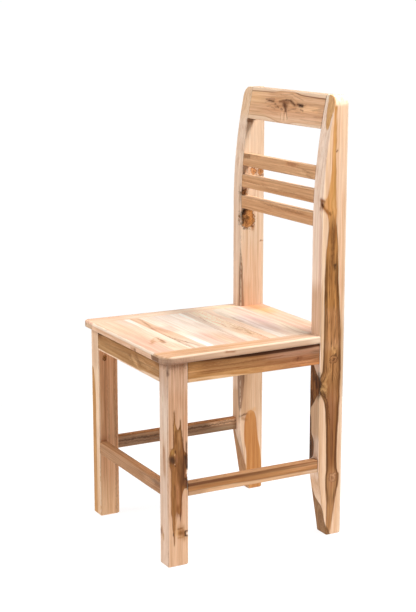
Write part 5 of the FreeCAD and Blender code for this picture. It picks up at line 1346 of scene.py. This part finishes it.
# ----------------------------------------------------------------- the seat
def board(n):
    spec = {1: (-160.0, 395.0), 2: (-104.0, 410.0), 3: (-30.0, 380.0), 4: (30.0, 405.0),
            5: (108.0, 400.0), 6: (190.0, 400.0)}[n]
    w = Wood("wood_seat_%d" % n, "x", 20 + n, spec[0], spec[1], 1.6)
    pale = lin((250, 228, 206))
    ink = []
    if n == 1:
        col = w.sap(lin((240, 210, 184)), lin((236, 200, 170)), lin((218, 176, 142)))
        edge = w.curve(w.s, [(-152, fy(62)), (-90, fy(58)), (-20, fy(56)), (60, fy(60)), (110, fy(66)), (152, fy(72))])
        col = w.mix(w.step(w.p - edge, -2.5, 2.5), col, pale)
        ink = [(34, 54, 62, 50, 9, 3.4, 0.55, lin((196, 152, 116))), (40, 52, 72, 48, 9, 3.0, 0.65, lin((182, 136, 98))),
               (60, 52, 82, 47, 8, 4.4, 0.75, lin((156, 110, 76))), (70, 46, 66, 30, 6, 5.0, 0.65, lin((208, 156, 116))),
               (58, 34, 78, 20, 9, 4.0, 0.7, lin((196, 146, 98))), (40, 44, 56, 30, 8, 2.8, 0.6, lin((200, 150, 104))),
               (52, 44, 60, 36, 8, 4.0, 0.5, lin((222, 176, 138))),
               (88, 44, 120, 48, 14, 2.6, 0.4, lin((200, 152, 112))), (-60, 20, 40, 26, 50, 3.0, 0.35, lin((216, 172, 132))),
               (-140, 6, -40, 12, 44, 3.0, 0.35, lin((218, 174, 134))), (-110, 36, -10, 40, 44, 2.4, 0.3, lin((220, 178, 140)))]
    elif n == 2:
        col = w.sap(lin((240, 206, 174)), lin((232, 192, 158)), lin((208, 162, 126)))
        edge = w.curve(w.s, [(-152, fy(100)), (-80, fy(102)), (0, fy(106)), (80, fy(108)), (152, fy(112))])
        col = w.mix(w.step(w.p - edge, -2.0, 2.5), col, pale)
        ink = [(-130, 97, -84, 89, 26, 3.0, 0.6, lin((190, 142, 110))), (-90, 89, -40, 82, 24, 2.6, 0.6, lin((180, 130, 98))),
               (60, 84, 96, 90, 20, 3.0, 0.65, lin((172, 120, 82))), (96, 90, 132, 99, 18, 2.6, 0.6, lin((168, 116, 78))),
               (20, 79, 124, 78.5, 40, 1.6, 0.65, lin((130, 88, 60))), (-20, 96, 50, 100, 30, 2.4, 0.4, lin((206, 160, 120)))]
    elif n == 3:
        col = w.sap(lin((250, 234, 216)), lin((246, 224, 206)), lin((238, 210, 188)))
        warm = w.seg((100, fy(176), 450), (150, fy(186), 450), (60, 24, 30))
        col = w.mix(warm * 0.7, col, lin((232, 196, 158)))
        ink = [(-60, 204, 150, 203.5, 60, 1.3, 0.45, lin((176, 130, 96))), (60, 190, 140, 196, 36, 2.4, 0.35, lin((212, 168, 130)))]
    elif n == 4:
        col = w.sap(lin((246, 216, 184)), lin((242, 206, 172)), lin((224, 182, 146)))
        squig = w.noise(w.s * 0.055, w.p * 0.20, 2.0, 3.0, 0.6, 0.8)
        col = w.mix(w.step(w.abs(squig - 0.5), 0.05, 0.01) * w.step(w.p, fy(226), fy(234)) * 0.55, col, lin((206, 154, 110)))
        edge = w.curve(w.s, [(-152, fy(226)), (-90, fy(222)), (-30, fy(219)), (40, fy(224)), (100, fy(229)), (152, fy(236))])
        col = w.mix(w.step(w.p - edge, 2.2, -2.2), col, pale)
        ink = [(-150, 229, -88, 223, 30, 2.4, 0.4, lin((206, 164, 132))), (-96, 224, -60, 219, 16, 2.6, 0.6, lin((190, 148, 118))),
               (-40, 228, -14, 236, 10, 1.8, 0.55, lin((206, 152, 106))), (-14, 236, 14, 230, 10, 1.8, 0.55, lin((206, 152, 106))),
               (30, 238, 56, 246, 12, 2.2, 0.65, lin((198, 144, 100))), (64, 252, 96, 246, 12, 3.0, 0.7, lin((198, 150, 110))),
               (84, 244, 112, 250, 10, 2.0, 0.6, lin((190, 138, 96))), (10, 250, 50, 256, 12, 1.8, 0.5, lin((210, 160, 116))),
               (-40, 248, 20, 250, 20, 2.0, 0.4, lin((214, 166, 112))), (-60, 259.6, 150, 259.6, 60, 1.2, 0.4, lin((160, 114, 78)))]
    elif n == 5:
        col = w.sap(lin((246, 224, 200)), lin((240, 214, 190)), lin((228, 198, 172)))
        edge = w.curve(w.s, [(-152, fy(284)), (-90, fy(277)), (0, fy(279)), (80, fy(281)), (152, fy(284))])
        col = w.mix(w.step(w.p - edge, 1.6, -1.6), col, pale)
        # a grey-brown ellipse, fading toward the near post
        e1 = (w.s - 26.0) * (1 / 112.0)
        e2 = (w.p - fy(311.0)) * (1 / 29.0)
        el = 1.0 - w.sqrt(e1 * e1 + e2 * e2)
        g = w.mix(w.step(w.bands, 0.4, 0.62), lin((238, 212, 198)), lin((220, 190, 176)))
        fade = w.step(w.s, 120, 60) * 0.55 + 0.3
        col = w.mix(w.step(el, -0.12, 0.30) * w.step(w.p - edge, 0.0, 2.0) * fade, col, g)
        ink = [(-50, 287, -20, 285, 26, 3.0, 0.6, lin((186, 146, 128))), (-20, 285, 50, 284.5, 50, 2.4, 0.4, lin((196, 158, 142))),
               (90, 288, 150, 290, 20, 3.4, 0.4, lin((255, 246, 236))), (60, 296, 120, 300, 20, 2.4, 0.35, lin((250, 236, 222))),
               (-56, 297, -20, 291, 22, 3.0, 0.3, lin((190, 152, 134))),
               (20, 300, 110, 306, 50, 2.4, 0.25, lin((196, 162, 148))), (-150, 340, -60, 346, 50, 3.4, 0.3, lin((232, 194, 158))),
               (-140, 354, 140, 356, 80, 2.6, 0.5, lin((252, 232, 204)))]
    else:
        col = w.sap(lin((240, 204, 172)), lin((234, 192, 158)), lin((214, 168, 130)))
        warm = w.seg((-150, fy(388), 450), (-84, fy(392), 450), (30, 16, 30))
        col = w.mix(warm * 0.7, col, lin((224, 174, 116)))
        ink = [(-40, 380, 90, 384, 60, 3.0, 0.3, lin((220, 178, 134))), (-20, 402, 120, 400, 60, 4.0, 0.25, lin((214, 170, 122)))]
    for x0, v0, x1, v1, rx, rv, k, cc in ink:
        col = w.mix(w.seg((x0, fy(v0), 450), (x1, fy(v1), 450), (rx * 0.55, rv, 9.0)) * k, col, cc)
    if n == 1:
        col = w.tint(col, w.step(w.Y, -160.0, -185.0) * w.step(w.X, -90.0, 60.0) * w.step(w.Z, 447.0, 449.5), (0.91, 0.82, 0.85))
        col = w.tint(col, w.step(w.Y, -170.0, -150.0) * w.step(w.X, -60.0, -120.0), (0.97, 1.06, 1.16))
    elif n == 2:
        col = w.tint(col, w.window(w.X, -40.0, -10.0, 25.0), (0.92, 0.84, 0.84))
        col = w.tint(col, w.step(w.X, 10.0, 110.0), (0.96, 1.08, 1.24))
    elif n == 3:
        col = w.tint(col, w.step(w.X, 10.0, 70.0) * w.step(w.Y, -25.0, -50.0), (0.92, 0.77, 0.76))
        col = w.tint(col, w.step(w.X, -10.0, -80.0) * w.step(w.Y, -45.0, -15.0), (1.18, 1.26, 1.30))
        col = w.tint(col, w.step(w.X, 30.0, 120.0) * w.step(w.Y, -40.0, -15.0), (0.93, 0.86, 0.88))
    elif n == 4:
        col = w.tint(col, w.step(w.X, 70.0, -40.0) * w.step(w.p - edge, -1.0, 2.0), (1.32, 1.50, 1.68))
        col = w.tint(col, w.step(w.X, 100.0, 140.0), (0.94, 0.84, 0.85))
    elif n == 5:
        col = w.tint(col, w.step(w.Y, 115.0, 90.0) * w.step(w.p - edge, -1.0, 2.0), (0.97, 1.06, 1.13))
        col = w.tint(col, w.step(w.p - edge, 2.0, -1.0), (1.0, 0.94, 0.90))
        col = w.tint(col, w.step(w.X, 50.0, -20.0) * w.step(w.Y, 105.0, 125.0), (0.93, 0.82, 0.87))
    else:
        col = w.tint(col, w.step(w.X, -95.0, -125.0), (0.86, 0.72, 0.73))
        col = w.tint(col, w.step(w.X, -95.0, -30.0), (0.97, 1.0, 1.15))
        col = w.tint(col, w.step(w.X, 112.0, 130.0) * w.step(w.Y, 188.0, 200.0), (0.88, 0.78, 0.70))
    if n < 6:
        col = w.tint(col, w.step(w.Z, 447.0, 449.5), (0.95, 0.965, 0.98))
    col = w.grainy(col, 0.8)
    if n == 1:
        # the front edge: a darker patch of heart, and a painted highlight along the rim
        for x0, x1, k, cc in ((46, 66, 0.6, lin((190, 144, 104))), (62, 70, 0.75, lin((150, 106, 76)))):
            m = w.window(w.X, x0, x1, 2.0) * w.step(w.Z, 444, 439) * w.step(w.Y, -214, -217)
            col = w.mix(m * k, col, cc)
        # the dark tongue of the rail's end grain shows at the joint
        rays = w.noise(w.X * 0.5, w.Z * 0.9, 3.3, 2.0)
        m = w.window(w.X - (450.0 - w.Z) * 0.35, 141.0, 160.0, 1.2) * w.step(w.Y, -216.0, -217.8) * w.step(w.Z, 446.6, 444.8)
        col = w.mix(m * 0.85, col, w.mix(rays, lin((150, 106, 74)), lin((98, 66, 44))))
        face = w.step(w.Y, -215.5, -217.8)
        hatch = w.noise(w.X * 0.9, 3.0, w.Z * 0.12, 2.0)
        col = w.tint(col, face * w.step(w.Z, 446.0, 443.0) * (w.step(hatch, 0.35, 0.62) * 0.5 + 0.5), (0.96, 0.84, 0.74))
        col = w.tint(col, face * w.step(w.X, -120.0, -146.0), (1.14, 1.20, 1.24))
        # painted highlight on the round-over of the front edge
        rim_highlight = w.step(w.Y, -213.0, -216.0) * w.step(w.Z, 444.5, 447.0)
        col = w.mix(rim_highlight * 0.5, col, lin((252, 238, 216)))
    return w.done(col, 0.46)


def seat_rail(side):
    sx = 1 if side == "near" else -1
    w = Wood("wood_seat_rail_" + side, "y", 18 if sx > 0 else 19, 128.0 * sx, 446.0, 1.0)
    if sx > 0:
        col = w.sap(lin((216, 180, 148)), lin((207, 168, 134)), lin((190, 146, 110)))
        rear = w.step(w.s, fy(190), fy(330))
        col = w.mix(rear * 0.6, col, lin((222, 192, 168)))
        col = w.tint(col, w.window(w.Y, -160.0, -70.0, 30.0) * w.step(w.Z, 447.0, 449.5), (0.90, 0.90, 0.88))
        ink = [((164, fy(-6), 450), (168, fy(160), 450), (2.6, 60, 8), 0.5, lin((206, 148, 96))),
               ((176, fy(30), 450), (180, fy(90), 450), (2.4, 24, 8), 0.6, lin((196, 134, 82))),
               ((172, fy(140), 450), (166, fy(330), 450), (2.6, 60, 8), 0.4, lin((210, 154, 104))),
               ((158, fy(60), 450), (157, fy(200), 450), (2.0, 60, 8), 0.35, lin((208, 154, 108)))]
    else:
        col = w.sap(lin((248, 222, 198)), lin((242, 212, 186)), lin((228, 190, 160)))
        col = w.tint(col, w.window(w.Y, -60.0, 70.0, 30.0), (1.12, 1.16, 1.18))
        col = w.tint(col, w.step(w.Y, -110.0, -150.0), (0.97, 0.84, 0.80))
        ink = [((-197.4, fy(-4), 448), (-188.5, fy(345), 448), (3.4, 60, 10), 0.85, lin((210, 154, 104))),
               ((-190, fy(-4), 450), (-184, fy(250), 450), (2.0, 60, 8), 0.4, lin((214, 160, 114))),
               ((-164, fy(280), 450), (-164, fy(350), 450), (14, 40, 8), 0.4, lin((236, 200, 156)))]
    for a, b, r_, k, cc in ink:
        col = w.mix(w.seg(a, b, r_) * k, col, cc)
    col = w.grainy(col, 0.9)
    # the edge is pinker below the top rim, where a painted highlight runs along the round-over
    ax = w.X * sx
    edge = w.step(w.Z, 446.4, 443.6) * w.max(w.step(ax - (200.0 - (w.Y + 205.5) * 0.0304), -16.0, -8.0), w.step(w.Y, -212.0, -216.0))
    if sx > 0:
        face = w.mix(w.step(w.s, fy(0), fy(160)), lin((190, 152, 126)), lin((220, 184, 154)))
        face = w.mix(w.step(w.s, fy(325), fy(355)), face, lin((240, 212, 184)))
    else:
        face = w.mix(w.step(w.s, fy(0), fy(200)), lin((236, 204, 170)), lin((230, 196, 162)))
    col = w.mix(edge * 0.85, col, face)
    lower = w.step(w.Z, 441.5, 435.5)
    col = w.tint(col, edge * lower * 0.7, (0.80, 0.71, 0.66))
    flute = w.step(w.noise(w.X * 0.42, w.Y * 0.42, w.Z * 0.05, 2.0), 0.48, 0.62) * w.step(w.s, fy(90), fy(30))
    col = w.tint(col, edge * flute * 0.6, (0.78, 0.70, 0.68))
    # painted highlight on the round-over of the top rim
    rim_highlight = w.step(w.Z, 445.2, 447.0) * w.step(ax - (200.0 - (w.Y + 205.5) * 0.0304), -5.0, -2.0)
    col = w.mix(rim_highlight * 0.5, col, lin((252, 234, 208)))
    # end grain at the front
    end = w.step(w.Y + ax * 0.28, -216.0 + 48.0, -217.8 + 48.0) * w.step(w.Z, 446.4, 444.6) * w.step(w.Z, 435.0, 437.0)
    rays = w.noise(w.X * 0.5, w.Z * 0.9, 3.3, 2.0)
    if sx > 0:
        col = w.mix(end * w.step(ax, 186, 178) * 0.85, col, w.mix(rays, lin((150, 106, 74)), lin((98, 66, 44))))
    else:
        brink = w.step(ax - (200.0 - (w.Y + 205.5) * 0.0304), -7.5, -3.5) * w.step(w.Z, 441.0, 445.0)
        col = w.mix(brink * 0.85, col, lin((200, 144, 96)))
        col = w.mix(end * 0.35, col, lin((190, 146, 110)))
        col = w.mix(w.seg((-186, fy(-12), 443), (-191, fy(-9), 441), (4, 4, 3.0), w.V) * 0.8, col, lin((150, 106, 74)))
    if sx > 0:
        col = w.tint(col, w.step(w.X, 153.4, 152.3) * w.step(w.Y, 60.0, 120.0) * 0.9, (0.40, 0.30, 0.24))
        col = w.mix(w.seg((198, fy(134), 445.0), (198, fy(148), 444.4), (8, 5.4, 2.4), w.P) * 0.9, col, lin((160, 98, 58)))
        col = w.mix(w.seg((198, fy(139), 447.6), (198, fy(148), 447.4), (8, 4.0, 1.4), w.P) * 0.9, col, lin((252, 232, 204)))
    return w.done(col, 0.46)


use("rear_post_left", near_post())
use("front_leg_left", near_leg())
use("front_leg_right", far_leg())
use("rear_post_right", far_post())
use("crest_rail", crest())
for nm, sd in (("upper", 8), ("middle", 9), ("lower", 10)):
    use("back_slat_" + nm, slat(nm, sd))
use("apron_left", near_apron())
use("apron_front", front_apron())
use("stretcher_left", near_stretcher())
use("stretcher_right", far_stretcher())
use("stretcher_front", plain("wood_front_stretcher", "x", 15, -170.0, 130.0, lin((186, 140, 100)), lin((164, 118, 80)),
                             lin((128, 88, 58)), -0.04,
                             [((122, -205, 168), (146, -205, 170), (10, 6, 5.0), 0.6, lin((96, 68, 52))),
                              ((60, -205, 170), (130, -205, 172), (24, 6, 1.8), 0.4, lin((120, 84, 60))),
                              ((88, -205, 162), (112, -205, 163), (14, 6, 6.0), 0.6, lin((206, 162, 124))),
                              ((-150, -205, 156), (60, -205, 154), (60, 6, 1.8), 0.3, lin((206, 160, 120)))],
                             1.0, (-152.0, 152.0)))
use("apron_back", plain("wood_rear_apron", "x", 12, 230.0, 380.0, lin((206, 160, 112)), lin((184, 136, 90)), lin((146, 102, 64))))
use("apron_right", plain("wood_far_apron", "y", 14, -200.0, 430.0, lin((200, 152, 104)), lin((176, 128, 84)), lin((138, 94, 60))))
for i in range(1, 7):
    use("seat_board_%d" % i, board(i))
use("seat_rail_left", seat_rail("near"))
use("seat_rail_right", seat_rail("far"))
block = plain("wood_blocks", "x", 31, 0.0, 400.0, lin((222, 180, 132)), lin((206, 160, 112)), lin((178, 132, 90)))
for k in ("front_left", "front_right", "rear_left", "rear_right"):
    use("corner_block_" + k, block)
use("seat_dowels", plain("wood_dowels", "y", 32, 0.0, 470.0, lin((228, 198, 158)), lin((218, 184, 142)), lin((200, 164, 122))))


def steel():
    g = Graph("screw_zinc")
    n = g.noise(g.X * 1.2, g.Y * 1.2, g.Z * 1.2, 3.0)
    col = g.mix(n, lin((176, 172, 160)), lin((128, 122, 110)))
    bs = g.t.nodes.new("ShaderNodeBsdfPrincipled")
    out = g.t.nodes.new("ShaderNodeOutputMaterial")
    g.put(bs.inputs["Base Color"], col)
    bs.inputs["Metallic"].default_value = 1.0
    g.put(bs.inputs["Roughness"], g.m("MULTIPLY_ADD", n, 0.25, 0.25))
    bp = g.t.nodes.new("ShaderNodeBump")
    bp.inputs["Strength"].default_value = 0.2
    bp.inputs["Distance"].default_value = 0.0002
    g.put(bp.inputs["Height"], n)
    g.t.links.new(bp.outputs[0], bs.inputs["Normal"])
    g.t.links.new(bs.outputs[0], out.inputs[0])
    return g.mat


zinc = steel()
use("block_screws", zinc)
use("seat_screws", zinc)


# ================================================================ floor, light
def plain_white(name, colour, glow):
    m = bpy.data.materials.new(name)
    m.use_nodes = True
    bs = m.node_tree.nodes["Principled BSDF"]
    bs.inputs["Base Color"].default_value = (colour, colour, colour, 1)
    bs.inputs["Roughness"].default_value = 0.9
    bs.inputs["Specular IOR Level"].default_value = 0.0
    bs.inputs["Emission Color"].default_value = (1, 1, 1, 1)
    bs.inputs["Emission Strength"].default_value = glow
    return m


def disc(name, r0, r1, z, mat, lit):
    n = 64
    vs, fs = [], []
    for i in range(n):
        t = 2 * math.pi * i / n
        vs += [(r0 * math.cos(t), r0 * math.sin(t), z), (r1 * math.cos(t), r1 * math.sin(t), z)]
    for i in range(n):
        a, b = 2 * i, 2 * ((i + 1) % n)
        fs.append((a, a + 1, b + 1, b))
    if r0 < 0.01:
        fs.append(tuple(2 * i for i in range(n)))
    me = bpy.data.meshes.new(name)
    me.from_pydata(vs, [], fs)
    me.materials.append(mat)
    ob = bpy.data.objects.new(name, me)
    bpy.context.scene.collection.objects.link(ob)
    if not lit:
        ob.visible_diffuse = False
        ob.visible_glossy = False
        ob.visible_shadow = False
    return ob


disc("floor", 0.0, 1.1, 0.0, plain_white("floor_white", 0.2, 0.9), True)
disc("floor_far", 0.9, 30.0, -0.001, plain_white("floor_far_white", 0.0, 1.02), False)


def backdrop():
    """A white studio wall all round, far behind the lamps."""
    n, R = 64, 30.0
    vs, fs = [], []
    for i in range(n):
        t = 2 * math.pi * i / n
        vs += [(R * math.cos(t), R * math.sin(t), -0.01), (R * math.cos(t), R * math.sin(t), 30.0)]
    for i in range(n):
        a, b = 2 * i, 2 * ((i + 1) % n)
        fs.append((a, a + 1, b + 1, b))
    me = bpy.data.meshes.new("backdrop")
    me.from_pydata(vs, [], fs)
    me.materials.append(plain_white("backdrop_white", 0.0, 1.02))
    ob = bpy.data.objects.new("backdrop", me)
    bpy.context.scene.collection.objects.link(ob)
    ob.visible_diffuse = False
    ob.visible_glossy = False
    ob.visible_shadow = False


backdrop()

scene = bpy.context.scene
world = bpy.data.worlds.new("studio")
scene.world = world
world.use_nodes = True
bg = world.node_tree.nodes["Background"]
bg.inputs["Color"].default_value = (1.0, 0.99, 0.98, 1)
bg.inputs["Strength"].default_value = 0.21


def lamp(name, at, aim, size, power, colour=(1, 1, 1), along_x=False):
    li = bpy.data.lights.new(name, "AREA")
    li.shape = "RECTANGLE"
    li.size, li.size_y = size
    li.energy = power
    li.color = colour
    ob = bpy.data.objects.new(name, li)
    scene.collection.objects.link(ob)
    ob.location = at
    # its width stays level along X when asked, else square to its aim
    z = (Vector(at) - Vector(aim)).normalized()
    x = Vector((1, 0, 0)) if along_x else Vector((0, 0, 1)).cross(z)
    x = (x - z * x.dot(z)).normalized()
    y = z.cross(x)
    ob.rotation_euler = Matrix((x, y, z)).transposed().to_euler()
    ob.visible_camera = False
    return ob


# a broad softbox overhead, a little behind and to the sitter's left, and a
# cooler fill from the front
lamp("key", (1.25, 1.15, 2.7), (0.0, 0.0, 0.5), (2.6, 0.75), 118.0, (1.0, 0.96, 0.945), True)
lamp("front_fill", (-0.7, -2.6, 2.4), (0.0, 0.0, 0.6), (1.8, 1.5), 76.0, (0.955, 0.975, 1.02))

cam_d = bpy.data.cameras.new("camera")
cam_d.sensor_fit = "VERTICAL"
cam_d.sensor_height = 36.0
cam_d.sensor_width = 24.47
cam_d.lens = 82.54
cam_d.clip_start, cam_d.clip_end = 0.05, 100.0
cam = bpy.data.objects.new("camera", cam_d)
scene.collection.objects.link(cam)
cam.location = (2.61207, -1.41622, 1.14044)
cam.rotation_euler = Vector((-0.86069, 0.46289, -0.21202)).to_track_quat("-Z", "Y").to_euler()
scene.camera = cam
scene.view_settings.view_transform = "Standard"
scene.view_settings.look = "None"
scene.view_settings.exposure = 0.0
scene.view_settings.gamma = 1.0
